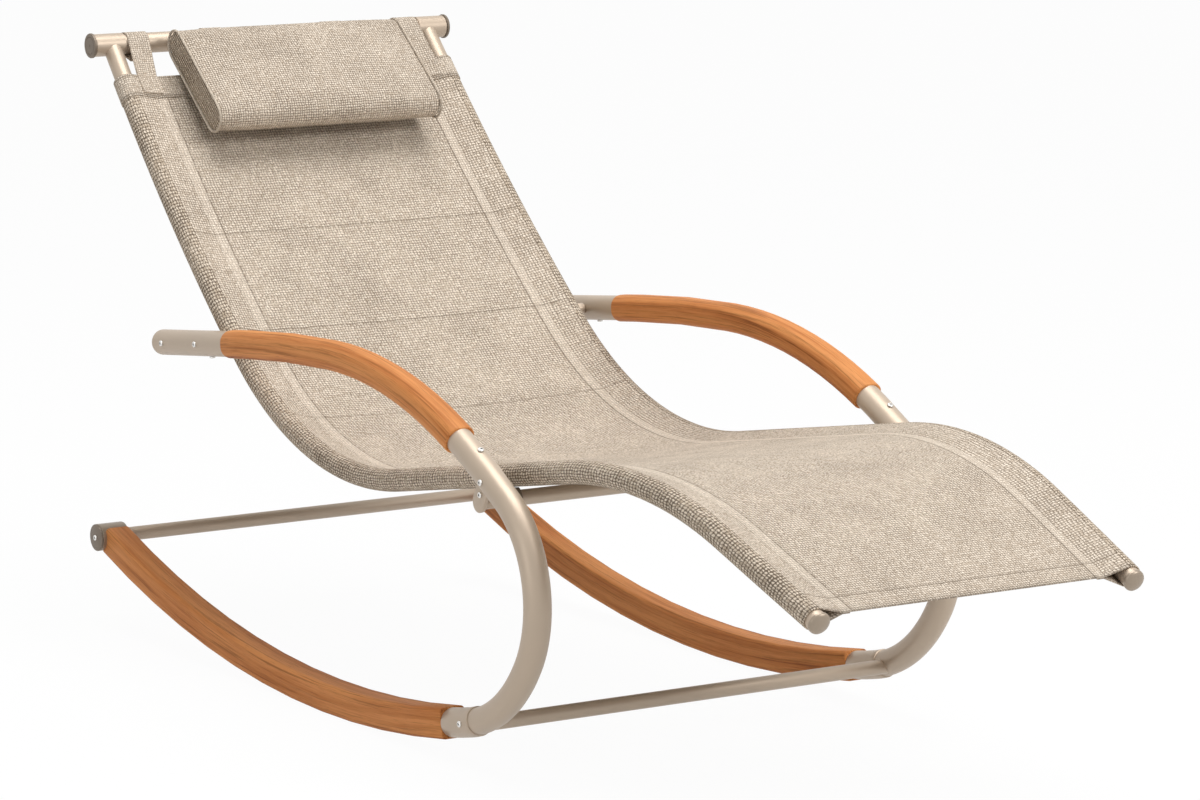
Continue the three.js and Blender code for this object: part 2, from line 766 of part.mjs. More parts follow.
// Sling rails, coped to the tee sleeves at the top, and their foot plugs
for (const [name, side] of sides) {
  const places = railLine.stretch(0, railLine.length, railChordSag);
  const shape = ring(railRadius, railRadius - railWall, barSides);
  const rail = sweep(shape, places, (width, height, place) => [width + side * railY(place), height]);
  const headY = side * railY(places[0]);
  const topBar = { x: topBarX, z: topBarZ };
  const tee = rod(
    holeRadius(teeRadius + seatGap, tubeSides),
    spot(topBar, headY - teeOuter - overrun),
    spot(topBar, headY + teeOuter + overrun),
  );
  add(`${name}_sling_rail`, cut(rail, tee), champagneMetal);
  const foot = railLine.at(railLine.length);
  const onward = new THREE.Vector3(Math.cos(foot.heading), 0, Math.sin(foot.heading));
  const spigot = (railRadius - railWall) * boreShare - seatGap;
  const plug = [
    [0, -plugDepth],
    [spigot, -plugDepth],
    [spigot, seatGap],
    [plugFlange, seatGap],
    [plugFlange, plugFlangeThickness],
    [plugFlange * 0.85, plugFlangeThickness + plugDome * 0.6],
    [plugFlange * 0.5, plugFlangeThickness + plugDome * 0.92],
    [0, plugFlangeThickness + plugDome],
  ];
  const plugSolid = turned(plug, tubeSides, spot(foot, 0), onward);
  const points = plugSolid.attributes.position;
  for (let i = 0; i < points.count; i++) {
    points.setY(i, points.getY(i) + side * railY({ x: points.getX(i) }));
  }
  add(`${name}_foot_plug`, plugSolid, champagneMetal);
}

// Top bar, tee sleeves and caps
const headHalf = railY(railLine.at(0));
const topAxis = { x: topBarX, z: topBarZ };
const teeFace = headHalf + teeOuter - teeCapThickness;
const topBarHalf = teeFace - seatGap;
const topBarShape = shapeOf(
  circle(topBarRadius, tubeSides, topBarX, topBarZ),
  circle(topBarRadius - topBarWall, boreSides, topBarX, topBarZ),
);
add("top_bar", across(topBarShape, -topBarHalf, topBarHalf), champagneMetal);
for (const [name, side] of sides) {
  const faces = [side * (headHalf - teeInner), side * (teeFace - seatGap)];
  const shape = shapeOf(
    circle(teeRadius, tubeSides, topBarX, topBarZ),
    circle(holeRadius(topBarRadius + seatGap / 2, tubeSides), tubeSides, topBarX, topBarZ),
  );
  add(`${name}_tee_sleeve`, across(shape, Math.min(...faces), Math.max(...faces)), champagneMetal);
  const spigot = (topBarRadius - topBarWall) * boreShare - seatGap;
  const cap = [
    [0, -plugDepth],
    [spigot, -plugDepth],
    [spigot, 0],
    [teeCapRadius, 0],
    [teeCapRadius, teeCapThickness * 0.7],
    [teeCapRadius * 0.93, teeCapThickness],
    [0, teeCapThickness],
  ];
  const capSolid = turned(cap, tubeSides, spot(topAxis, side * teeFace), outward(side));
  add(`${name}_tee_cap`, capSolid, darkMetal);
}

// The sling's section: a sheet between two sleeves, each closed by a seam at the sheet's edge.
// It is drawn at the rails' widest place, and every place adjusts it to the rails there.
const seamY = railHalf - seamSetback;
const sleeveSteps = 8;
const mirrored = (points) => points.map(({ x, y }) => new THREE.Vector2(-x, y));

// The arc round the rail at +Y that meets the two lines from a sleeve's seam without a corner,
// from below the seam round to above it
function sleeveArc(radius, setback, under, above) {
  const touch = (height) => Math.acos(radius / Math.hypot(setback, height));
  const from = touch(under) - Math.PI - Math.atan2(under, setback);
  const to = Math.PI - touch(above) - Math.atan2(above, setback);
  const points = [];
  for (let i = 0; i <= sleeveSteps; i++) {
    const angle = from + ((to - from) * i) / sleeveSteps;
    const x = railHalf + radius * Math.cos(angle);
    points.push(new THREE.Vector2(x, radius * Math.sin(angle)));
  }
  return points;
}

function slingOutline(extra) {
  const above = sheetTop + extra;
  const under = sheetTop - fabricThickness;
  const sleeve = sleeveArc(sleeveFabricRadius + extra, seamSetback, under, above);
  const face = [];
  for (let i = -sagPoints; i <= sagPoints; i++) face.push((seamY * i) / sagPoints);
  return [
    ...face.toReversed().map((y) => new THREE.Vector2(y, above)),
    ...mirrored(sleeve).toReversed(),
    ...face.map((y) => new THREE.Vector2(y, under)),
    ...sleeve,
  ];
}

function slingShape(extra) {
  const setback = seamSetback - seamWidth;
  const level = sheetTop - fabricThickness / 2;
  const radius = holeRadius(railRadius + seatGap + extra / 2, barSides);
  const bore = sleeveArc(radius, setback, level, level);
  bore.push(new THREE.Vector2(railHalf - setback, level));
  return shapeOf(slingOutline(extra), bore, mirrored(bore));
}

const slingEnd = railLine.length - slingEndSetback;
const sagAt = (place) => {
  const share = (place.distance - slingStart) / (slingEnd - slingStart);
  return slingSag * Math.sin(Math.PI * Math.min(1, Math.max(0, share))) ** 2;
};

function followRails(width, height, place) {
  const inward = railHalf - railY(place);
  const share = Math.min(1, Math.abs(width) / seamY);
  const sag = Math.abs(width) < seamY ? sagAt(place) * (1 - share ** 2) : 0;
  return [width - Math.sign(width) * inward * share, height - sag];
}

const slingPlaces = railLine.stretch(slingStart, slingEnd, railChordSag);
add("sling", sweep(slingShape(0), slingPlaces, followRails), slingFabric);
const bandPlaces = railLine.stretch(bandStart, bandEnd, railChordSag);
add("head_band", sweep(slingShape(bandExtra), bandPlaces, followRails), slingFabric);

// Straps from the band up and round the top bar
const loopBore = holeRadius(topBarRadius + seatGap, tubeSides);
const loopOuter = loopBore + fabricThickness;
const strapLift = sheetTop + bandExtra + 2 * seatGap;
const onRail = (along, off) => {
  const place = beside(railLine.at(along), off);
  return new THREE.Vector2(place.x, place.z);
};
const strapOutline = [
  onRail(strapEnd, strapLift),
  onRail(strapEnd, strapLift + fabricThickness),
  onRail(bandStart, strapLift + fabricThickness),
  onRail(0, fabricThickness),
  onRail(0, 0),
  onRail(topBarRadius, 0),
  onRail(bandStart, strapLift),
];
const bandSeam = seamY - railHalf + railY(railLine.at(bandEnd));
const bandTop = sheetTop + bandExtra;
const bandCrest = sleeveArc(sleeveFabricRadius + bandExtra, seamSetback, 0, bandTop).at(-1);
const bandRise = (bandCrest.y - bandTop) / (bandCrest.x - seamY);

// A strip of a strap's tail: outboard of the seam it climbs with the band's sleeve
function strapStrip(fromY, toY) {
  const strip = across(shapeOf(strapOutline), fromY, toY);
  const points = strip.attributes.position;
  const [leftX, leftZ] = leftOf(railLine.at(bandStart));
  for (let i = 0; i < points.count; i++) {
    const climb = Math.max(0, Math.abs(points.getY(i)) - bandSeam) * bandRise;
    points.setX(i, points.getX(i) + climb * leftX);
    points.setZ(i, points.getZ(i) + climb * leftZ);
  }
  return strip;
}

for (const [name, side] of sides) {
  const fromY = side * strapMiddle - strapWidth / 2;
  const toY = side * strapMiddle + strapWidth / 2;
  const bar = circle(loopOuter, tubeSides, topBarX, topBarZ);
  const bore = across(
    shapeOf(circle(loopBore, tubeSides, topBarX, topBarZ)),
    fromY - overrun,
    toY + overrun,
  );
  const seam = side * bandSeam;
  const strips = [strapStrip(fromY, seam), strapStrip(seam, toY)];
  const strap = joined(across(shapeOf(bar), fromY, toY), ...strips);
  add(`${name}_sling_strap`, cut(strap, bore), slingFabric);
}

// Head pillow: a bolster with rounded long edges, crowned towards the sitter, its end panels
// drawn in at the rim. Its lower edge stands further off the sling than its upper one.
const pillowBack = sheetTop + bandExtra + 2 * seatGap;
const pillowCorner = pillowThickness / 2;
const pillowOutline = roundedBox(pillowDepth, pillowThickness, pillowCorner - seatGap, 6);

// Where a point of the outline lies at a share of the pillow's half length
function onPillow(point, share) {
  const fullness = 1 - share ** 4;
  const draw = pillowEndDraw * Math.abs(share) ** 8;
  const along = point.x * (1 - (2 * draw) / pillowDepth);
  const middling = Math.max(0, 1 - (along / (pillowDepth / 2 - pillowCorner)) ** 2);
  const thickness = pillowThickness - 2 * draw + pillowCrown * fullness * middling;
  const height = point.y / pillowThickness + 1 / 2;
  const place = railLine.at(pillowStart + pillowDepth / 2 + along);
  const lean = pillowLean * (along / pillowDepth + 1 / 2);
  return beside(place, pillowBack + lean + draw + height * thickness);
}

function pillowSolid() {
  const solid = new THREE.ExtrudeGeometry(shapeOf(pillowOutline), {
    depth: pillowSlices,
    steps: pillowSlices,
    bevelEnabled: false,
  });
  const points = solid.attributes.position;
  for (let i = 0; i < points.count; i++) {
    const share = (2 * points.getZ(i)) / pillowSlices - 1;
    const { x, z } = onPillow({ x: points.getX(i), y: points.getY(i) }, share);
    points.setXYZ(i, x, -share * pillowHalf, z);
  }
  return solid;
}
add("head_pillow", pillowSolid(), slingFabric);

// Loops that hang the pillow on the top bar: each ends where the pillow is nearest to the bar
const fromBar = (point) => new THREE.Vector2(point.x - topBarX, point.z - topBarZ);
const toPillow = pillowOutline
  .map((point) => fromBar(onPillow(point, 0)))
  .reduce((best, way) => (way.length() < best.length() ? way : best));
const loopTip = toPillow.length() - 2 * seatGap;
for (const [name, side] of sides) {
  const y = side * loopMiddle;
  const outline = [];
  const open = Math.acos(loopOuter / loopTip);
  for (let i = 0; i <= tubeSides; i++) {
    const angle = toPillow.angle() + open + ((2 * Math.PI - 2 * open) * i) / tubeSides;
    outline.push(
      new THREE.Vector2(topBarX + loopOuter * Math.cos(angle), topBarZ + loopOuter * Math.sin(angle)),
    );
  }
  const tip = toPillow.clone().normalize().multiplyScalar(loopTip);
  outline.push(new THREE.Vector2(topBarX + tip.x, topBarZ + tip.y));
  const shape = shapeOf(outline, circle(loopBore, tubeSides, topBarX, topBarZ));
  const loop = across(shape, y - loopWidth / 2, y + loopWidth / 2);
  add(`${name}_pillow_loop`, loop, slingFabric);
}

// The origin goes to the middle of the footprint, on the ground
chair.updateMatrixWorld(true);
const box = new THREE.Box3().setFromObject(chair, true);
const middle = box.getCenter(new THREE.Vector3());
chair.position.set(-middle.x, 0, -box.min.z);

export default chair;
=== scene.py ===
# A rocking chaise lounge: bent tube and bent wood side frames on curved wooden rockers, a woven
# sling stretched over two bent rails, and a head pillow hung on the top bar.
# Metres, +Z up, +X towards the foot end, +Y to the sitter's left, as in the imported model.
import math

import bpy
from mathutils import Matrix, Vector


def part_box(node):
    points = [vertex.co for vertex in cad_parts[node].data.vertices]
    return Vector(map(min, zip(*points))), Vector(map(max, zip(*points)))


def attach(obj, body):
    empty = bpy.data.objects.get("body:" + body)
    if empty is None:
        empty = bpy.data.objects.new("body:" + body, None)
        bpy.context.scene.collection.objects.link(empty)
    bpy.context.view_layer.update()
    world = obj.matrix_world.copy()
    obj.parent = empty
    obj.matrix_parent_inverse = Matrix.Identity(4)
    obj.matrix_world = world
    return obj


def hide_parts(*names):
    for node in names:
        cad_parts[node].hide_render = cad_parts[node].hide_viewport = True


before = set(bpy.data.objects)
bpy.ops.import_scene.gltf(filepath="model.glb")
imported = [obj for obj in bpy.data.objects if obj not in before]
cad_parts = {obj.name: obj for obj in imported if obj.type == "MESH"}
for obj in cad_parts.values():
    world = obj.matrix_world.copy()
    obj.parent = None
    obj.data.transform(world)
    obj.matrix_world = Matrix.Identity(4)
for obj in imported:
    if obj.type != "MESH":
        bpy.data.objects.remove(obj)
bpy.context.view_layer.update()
bpy.ops.object.select_all(action="DESELECT")


# The place the chair is looked at from: six metres away from its front right corner, with the
# lens 0.6 m above the top bar.
camera_place = (5.202, -3.259, 1.4208)
camera_turn = 57.77
camera_tip = 80.477
camera_lens = 147.36
bpy.ops.object.camera_add(
    location=camera_place,
    rotation=(math.radians(camera_tip), 0, math.radians(camera_turn)),
)
camera = bpy.context.object
camera.data.sensor_width = 36
camera.data.lens = camera_lens
bpy.context.scene.camera = camera
bpy.context.scene.view_settings.view_transform = "Standard"


# The studio: a white floor that runs out of sight, a white surround, one broad soft lamp to the
# right of the camera, a weaker one on its left and a wide one overhead.
class Wire:
    """A shader node's output, with which maths is written as Python expressions."""

    def __init__(self, tree, socket):
        self.tree = tree
        self.socket = socket

    def maths(self, operation, *values):
        node = self.tree.nodes.new("ShaderNodeMath")
        node.operation = operation
        for entry, value in zip(node.inputs, values):
            plug(self.tree, entry, value)
        return Wire(self.tree, node.outputs[0])

    def __add__(self, other):
        return self.maths("ADD", self, other)

    def __sub__(self, other):
        return self.maths("SUBTRACT", self, other)

    def __rsub__(self, other):
        return self.maths("SUBTRACT", other, self)

    def __mul__(self, other):
        return self.maths("MULTIPLY", self, other)

    def __truediv__(self, other):
        return self.maths("DIVIDE", self, other)

    def __pow__(self, other):
        return self.maths("POWER", self, other)

    __radd__ = __add__
    __rmul__ = __mul__


def plug(tree, entry, value):
    """Sets a node's entry to a number, or to a colour of three parts, or links a wire to it."""
    if isinstance(value, Wire):
        tree.links.new(value.socket, entry)
    elif isinstance(value, tuple) and len(entry.default_value) == 4:
        entry.default_value = (*value, 1)
    else:
        entry.default_value = value


class Finish:
    """A surface finish, built up from shader nodes on a Principled shader."""

    def __init__(self, name):
        self.material = bpy.data.materials.new(name)
        self.material.use_nodes = True
        self.tree = self.material.node_tree
        self.shader = self.tree.nodes["Principled BSDF"]

    def node(self, kind, settings=(), output=0, **entries):
        node = self.tree.nodes.new(kind)
        for key, value in dict(settings).items():
            if key == "stops":
                ramp = node.color_ramp.elements
                while len(ramp) < len(value):
                    ramp.new(0.5)
                for stop, (place, colour) in zip(ramp, value):
                    stop.position = place
                    stop.color = (*colour, 1)
            else:
                setattr(node, key, value)
        for key, value in entries.items():
            plug(self.tree, node.inputs[key.replace("_", " ")], value)
        return Wire(self.tree, node.outputs[output])

    def mixed(self, share, first, second):
        node = self.tree.nodes.new("ShaderNodeMix")
        node.data_type = "RGBA"
        for place, value in ((0, share), (6, first), (7, second)):
            plug(self.tree, node.inputs[place], value)
        return Wire(self.tree, node.outputs[2])

    def laid(self, along, above, beside):
        """Where a point lies along, above and beside its bent line, each stretched by a factor."""
        place = self.node("ShaderNodeAttribute", {"attribute_name": "laid"}, "Vector")
        return self.node("ShaderNodeMapping", Vector=place, Scale=(along, above, beside))

    def speckle(self, vector, scale, detail=2.0, roughness=0.5):
        return self.node(
            "ShaderNodeTexNoise",
            Vector=vector,
            Scale=scale,
            Detail=detail,
            Roughness=roughness,
        )

    def rise(self, value, low, high, top=1.0):
        """Goes from nothing to the top as a value goes from low to high."""
        return self.node(
            "ShaderNodeMapRange", Value=value, From_Min=low, From_Max=high, To_Max=top
        )

    def relief(self, height, distance, strength):
        bump = self.node("ShaderNodeBump", Height=height, Distance=distance, Strength=strength)
        plug(self.tree, self.shader.inputs["Normal"], bump)

    def set(self, **entries):
        for key, value in entries.items():
            plug(self.tree, self.shader.inputs[key.replace("_", " ")], value)

    def object_place(self):
        return self.node("ShaderNodeTexCoord", (), "Object")


floor_white = 0.9
floor_glow = 0.96
floor_size = 60
floor_level = -0.0006
bpy.ops.mesh.primitive_plane_add(size=floor_size, location=(0, 0, floor_level))
floor = bpy.context.object
floor.name = "studio_floor"
floor_finish = Finish("studio_floor_white")
floor_finish.set(Base_Color=(floor_white, floor_white, floor_white), Roughness=0.9)
floor_rays = floor_finish.node("ShaderNodeLightPath", (), "Is Camera Ray")
floor_mirrored = Wire(floor_finish.tree, floor_rays.socket.node.outputs["Is Glossy Ray"])
glow = floor_finish.node("ShaderNodeEmission", Color=(1, 1, 1), Strength=1.0)
floor_mix = floor_finish.tree.nodes.new("ShaderNodeMixShader")
plug(floor_finish.tree, floor_mix.inputs[0], (floor_rays + floor_mirrored) * floor_glow)
floor_finish.tree.links.new(floor_finish.shader.outputs[0], floor_mix.inputs[1])
plug(floor_finish.tree, floor_mix.inputs[2], glow)
floor_out = floor_finish.tree.nodes["Material Output"]
floor_finish.tree.links.new(floor_mix.outputs[0], floor_out.inputs["Surface"])
floor.data.materials.append(floor_finish.material)

surround_light = 0.36
world = bpy.data.worlds.new("white_surround")
world.use_nodes = True
bpy.context.scene.world = world
nodes = world.node_tree.nodes
links = world.node_tree.links
ray = nodes.new("ShaderNodeLightPath")
seen = nodes.new("ShaderNodeMath")
seen.operation = "MAXIMUM"
links.new(ray.outputs["Is Camera Ray"], seen.inputs[0])
links.new(ray.outputs["Is Glossy Ray"], seen.inputs[1])
strength = nodes.new("ShaderNodeMapRange")
strength.inputs["To Min"].default_value = surround_light
strength.inputs["To Max"].default_value = 1.0
links.new(seen.outputs[0], strength.inputs["Value"])
nodes["Background"].inputs["Color"].default_value = (1, 1, 1, 1)
links.new(strength.outputs["Result"], nodes["Background"].inputs["Strength"])

chair_middle = Vector((-0.1, 0, 0.35))
for name, place, width, power in (
    ("lamp_right", (3.0, 1.4, 2.6), 1.4, 62),
    ("lamp_left", (0.9, -4.2, 1.3), 2.0, 19),
    ("lamp_above", (0.0, 0.2, 4.1), 2.6, 122),
):
    aim = chair_middle - Vector(place)
    bpy.ops.object.light_add(
        type="AREA", location=place, rotation=aim.to_track_quat("-Z", "Y").to_euler()
    )
    lamp = bpy.context.object
    lamp.name = name
    lamp.data.size = width
    lamp.data.energy = power


# Rockers: two bars of oiled hardwood, steam-bent to one curve, with rounded long edges. Their
# rear ends are let into the round metal blocks, and their front ends run into metal sleeves.
facet = math.radians(2.4)
shortest_run = 1e-6


class BentLine:
    """A line in the upright plane, as a bender makes it, from arcs and straight runs.

    Each run is an arc's radius and its turn in degrees, or a straight length.
    """

    def __init__(self, x, z, heading, *runs):
        self.runs = []
        self.length = 0
        for radius, turn, straight in runs:
            turn = math.radians(turn)
            length = radius * abs(turn) or straight
            self.runs.append((self.length, length, turn, x, z, heading))
            self.length += length
            x, z, heading = self.at(self.length)

    def at(self, distance):
        begins, length, turn, x, z, heading = next(
            (run for run in reversed(self.runs) if run[0] <= distance), self.runs[0]
        )
        local = distance - begins
        turned = heading + turn * local / length
        if not turn:
            return x + local * math.cos(heading), z + local * math.sin(heading), turned
        radius = length / turn
        across = math.sin(turned) - math.sin(heading)
        up = math.cos(heading) - math.cos(turned)
        return x + radius * across, z + radius * up, turned

    def off(self, distance, offset, y=0.0):
        x, z, heading = self.at(distance)
        return Vector((x - offset * math.sin(heading), y, z + offset * math.cos(heading)))

    def carry(self, start, end, y):
        """Carries the selected ring along the line, spinning it round each bend."""
        for begins, length, turn, _, _, _ in self.runs:
            first = max(start, begins)
            last = min(end, begins + length)
            if last - first < shortest_run:
                continue
            if turn:
                part = turn * (last - first) / length
                bpy.ops.mesh.spin(
                    steps=max(1, round(abs(part) / facet)),
                    angle=-part,
                    center=self.off(first, length / turn, y),
                    axis=(0, -1, 0),
                )
            else:
                step = self.off(last, 0) - self.off(first, 0)
                bpy.ops.mesh.extrude_region_move(TRANSFORM_OT_translate={"value": step})


side_frames = (("right", -1), ("left", 1))
lowest = Vector((-0.13195, 0, -0.00048))
rocker_sole = 1.855
rocker_height = 0.039
rocker_width = 0.036
rocker_half = 0.3
rocker_corner = 0.006
rocker_end_round = 0.0012
rocker_rear_turn = 19.45
rocker_front_turn = 9.6
block_cope = 0.010
grain_aside = 0.11
rocker_middle = rocker_sole - rocker_height / 2
cope_turn = math.degrees(block_cope / rocker_middle)


def on_rocker(turn):
    angle = math.radians(turn)
    x = lowest.x + rocker_middle * math.sin(angle)
    return x, lowest.z + rocker_sole - rocker_middle * math.cos(angle), angle


rocker_line = BentLine(
    *on_rocker(cope_turn - rocker_rear_turn),
    (rocker_middle, rocker_front_turn + rocker_rear_turn - cope_turn, 0),
)


def ready(action="SELECT"):
    """Opens the new object's mesh for work with all or nothing of it selected."""
    bpy.ops.object.mode_set(mode="EDIT")
    bpy.ops.mesh.select_all(action=action)


def only(piece):
    """Makes a piece the one that is selected and worked on."""
    bpy.ops.object.select_all(action="DESELECT")
    piece.select_set(True)
    bpy.context.view_layer.objects.active = piece


def settled(piece, name, finish, slot, *replaced, body="chair", smooth=35):
    """Closes the work on a piece: its place goes into its mesh, and it gets finish and body."""
    if bpy.context.mode != "OBJECT":
        bpy.ops.object.mode_set(mode="OBJECT")
    only(piece)
    bpy.ops.object.transform_apply(location=True, rotation=True, scale=True)
    bpy.ops.object.shade_smooth_by_angle(angle=math.radians(smooth))
    piece.name = name
    piece.data.materials.clear()
    piece.data.materials.append(finish.material)
    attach(piece, body)
    if replaced:
        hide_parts(*replaced)
    piece.select_set(False)


def note_laid(piece, places):
    """Stores with every point where it lies along, above and beside its bent line."""
    laid = piece.data.attributes.new("laid", "FLOAT_VECTOR", "POINT")
    for note, place in zip(laid.data, places):
        note.vector = place


def lay_along(piece, line, y):
    """Finds for every point of a wooden piece its place along a bent line, for the grain."""
    count = 500
    spots = [line.at(line.length * i / count) for i in range(count + 1)]
    places = []
    for point in piece.data.vertices:
        x, z = point.co.x, point.co.z
        near = min(range(count + 1), key=lambda i: (x - spots[i][0]) ** 2 + (z - spots[i][1]) ** 2)
        sx, sz, heading = spots[near]
        past = (x - sx) * math.cos(heading) + (z - sz) * math.sin(heading)
        above = (z - sz) * math.cos(heading) - (x - sx) * math.sin(heading)
        places.append((line.length * near / count + past, above, point.co.y - y))
    note_laid(piece, places)


def closed_ends(rounding, segments=2):
    """Closes a bar's two open ends and rounds them over."""
    bpy.ops.mesh.select_all(action="DESELECT")
    bpy.ops.mesh.select_mode(type="EDGE")
    bpy.ops.mesh.select_non_manifold()
    bpy.ops.mesh.edge_face_add()
    if rounding:
        bpy.ops.mesh.bevel(offset=rounding, segments=segments)
    bpy.ops.mesh.select_all(action="SELECT")
    bpy.ops.mesh.normals_make_consistent(inside=False)
    bpy.ops.object.mode_set(mode="OBJECT")


def wooden_bar(line, start, end, y, width, height, corner, rounding):
    """A bar of wood with rounded corners, carried along a bent line."""
    x, z, heading = line.at(start)
    bpy.ops.mesh.primitive_plane_add(
        size=1, location=(x, y, z), rotation=(0, math.pi / 2 - heading, 0)
    )
    bar = bpy.context.object
    bar.scale = (height, width, 1)
    bpy.ops.object.transform_apply(location=False, rotation=False, scale=True)
    ready()
    bpy.ops.mesh.bevel(offset=corner, segments=8, affect="VERTICES")
    bpy.ops.mesh.select_all(action="SELECT")
    bpy.ops.mesh.delete(type="ONLY_FACE")
    bpy.ops.mesh.select_all(action="SELECT")
    line.carry(start, end, y)
    closed_ends(rounding)
    return bar


wood_light = (0.650, 0.270, 0.088)
wood_mid = (0.490, 0.172, 0.048)
wood_dark = (0.190, 0.056, 0.013)
oiled_wood = Finish("oiled_wood")
figure = oiled_wood.speckle(oiled_wood.laid(2.6, 75, 75), 1.0, 5.0, 0.62)
streak = oiled_wood.speckle(oiled_wood.laid(4.5, 260, 260), 1.0, 4.0, 0.65)
pore = oiled_wood.speckle(oiled_wood.laid(45, 1100, 1100), 1.0, 2.0, 0.5)
figure_tone = oiled_wood.node(
    "ShaderNodeValToRGB",
    {"stops": [(0.35, wood_dark), (0.43, wood_mid), (0.55, wood_light)]},
    Fac=figure * 0.65 + streak * 0.35,
)
fine_streak = oiled_wood.rise(streak, 0.53, 0.64)
pore_mark = oiled_wood.rise(pore, 0.60, 0.72)
streaked = oiled_wood.mixed(fine_streak * 0.62, figure_tone, wood_dark)
oiled_wood.set(
    Base_Color=oiled_wood.mixed(pore_mark * 0.35, streaked, wood_dark),
    Roughness=0.50 + streak * 0.16,
    Specular_IOR_Level=0.14,
)
oiled_wood.relief(streak * 0.6 - pore_mark * 0.4, 0.0004, 0.35)

for name, side in side_frames:
    rocker = wooden_bar(
        rocker_line,
        0,
        rocker_line.length,
        side * rocker_half,
        rocker_width,
        rocker_height,
        rocker_corner,
        rocker_end_round,
    )
    settled(rocker, f"rocker_{name}", oiled_wood, "oiled_wood", f"{name}_rocker")
    lay_along(rocker, rocker_line, side * (rocker_half + grain_aside))


# Side frames: each is one round aluminium tube, bent up from the rocker's front and back over
# itself, with a satin champagne powder coat. A short sleeve is pressed over its lower end and
# the rocker's tenon, and a stub of the same tube sticks out behind the armrest.
tube_radius = 0.017
tube_overlap = 0.004
sleeve_length = 0.064
sleeve_wall = 0.0015
sleeve_round = 0.0008
sleeve_gap = 0.0003
armrest_front_setback = 0.025
armrest_rear_straight = 0.044
stub_length = 0.197
side_line = BentLine(
    *on_rocker(rocker_front_turn),
    (0.695, 3.7, 0),
    (0.213, 44.7, 0),
    (0.137, 91.9, 0),
    (1.339, 4.2, 0),
    (0.725, 27.4, 0),
    (2.442, 5.2, 0),
    (0, 0, armrest_rear_straight + stub_length),
)
arm_front = side_line.runs[4][0] + armrest_front_setback
stub_start = side_line.runs[6][0] + armrest_rear_straight
stub_end = side_line.length


def satin_metal(name, colour, patches, spread, rough):
    """A satin metallic powder coat: one tone with faint clouds and a very fine grain."""
    metal = Finish(name)
    grain = metal.object_place()
    fine_grain = metal.speckle(grain, 1600.0, 2.0, 0.6)
    cloudy = metal.speckle(grain, patches, 3.0, 0.5)
    low, high = (tuple(c * (1 + turn * spread) for c in colour) for turn in (-1, 1))
    metal.set(
        Base_Color=metal.mixed(cloudy, low, high),
        Metallic=0.40,
        Roughness=rough + cloudy * 0.08 + fine_grain * 0.05,
    )
    metal.relief(fine_grain, 0.00012, 0.12)
    return metal


champagne_metal = satin_metal("champagne_metal", (0.475, 0.382, 0.292), 9.0, 0.06, 0.36)
# A darker copy of the champagne coat, painted darker as shade, for the rear blocks and foot plugs.
painted_shade_metal = satin_metal("painted_shade_metal", (0.330, 0.265, 0.200), 9.0, 0.08, 0.30)
dark_metal = satin_metal("dark_metal", (0.190, 0.150, 0.113), 40.0, 0.22, 0.40)


def round_bar(line, start, end, y, radius, rounding=0.0, around=40):
    """A round tube, drawn as a ring and carried along a bent line."""
    x, z, heading = line.at(start)
    bpy.ops.mesh.primitive_circle_add(
        vertices=around,
        radius=radius,
        location=(x, y, z),
        rotation=(0, math.pi / 2 - heading, 0),
    )
    bar = bpy.context.object
    ready()
    line.carry(start, end, y)
    closed_ends(rounding)
    return bar


for name, side in side_frames:
    y = side * rocker_half
    for piece_name, node, start, end, wall, rounding in (
        ("rocker_sleeve", "rocker_sleeve", sleeve_gap, sleeve_length, sleeve_wall, sleeve_round),
        ("bent_tube", "front_tube", tube_overlap, arm_front + tube_overlap, 0, 0),
        ("arm_stub", "arm_stub", stub_start - tube_overlap, stub_end, 0, 0),
    ):
        tube = round_bar(side_line, start, end, y, tube_radius + wall, rounding)
        settled(
            tube, f"{piece_name}_{name}", champagne_metal, "champagne_metal", f"{name}_{node}"
        )


# Armrests: bent wood, rounder in section than the rockers, pushed over the tubes' ends. Both
# ends are cut square, with a small round.
armrest_width = 0.040
armrest_height = 0.0365
armrest_corner = 0.016
armrest_end_round = 0.0022


def ends_rounded(bar, width, segments):
    """Rounds the edges of a bar's two flat ends, the only faces with more than eight corners."""
    ready("DESELECT")
    bpy.ops.object.mode_set(mode="OBJECT")
    for face in bar.data.polygons:
        face.select = len(face.vertices) > 8
    bpy.ops.object.mode_set(mode="EDIT")
    bpy.ops.mesh.select_mode(type="FACE")
    bpy.ops.mesh.region_to_loop()
    bpy.ops.mesh.bevel(offset=width, segments=segments)
    bpy.ops.object.mode_set(mode="OBJECT")


for name, side in side_frames:
    arm = wooden_bar(
        side_line,
        arm_front,
        stub_start,
        side * rocker_half,
        armrest_width,
        armrest_height,
        armrest_corner,
        0,
    )
    ends_rounded(arm, armrest_end_round, 4)
    settled(arm, f"armrest_{name}", oiled_wood, "oiled_wood", f"{name}_armrest")
    lay_along(arm, side_line, side * (rocker_half + grain_aside))


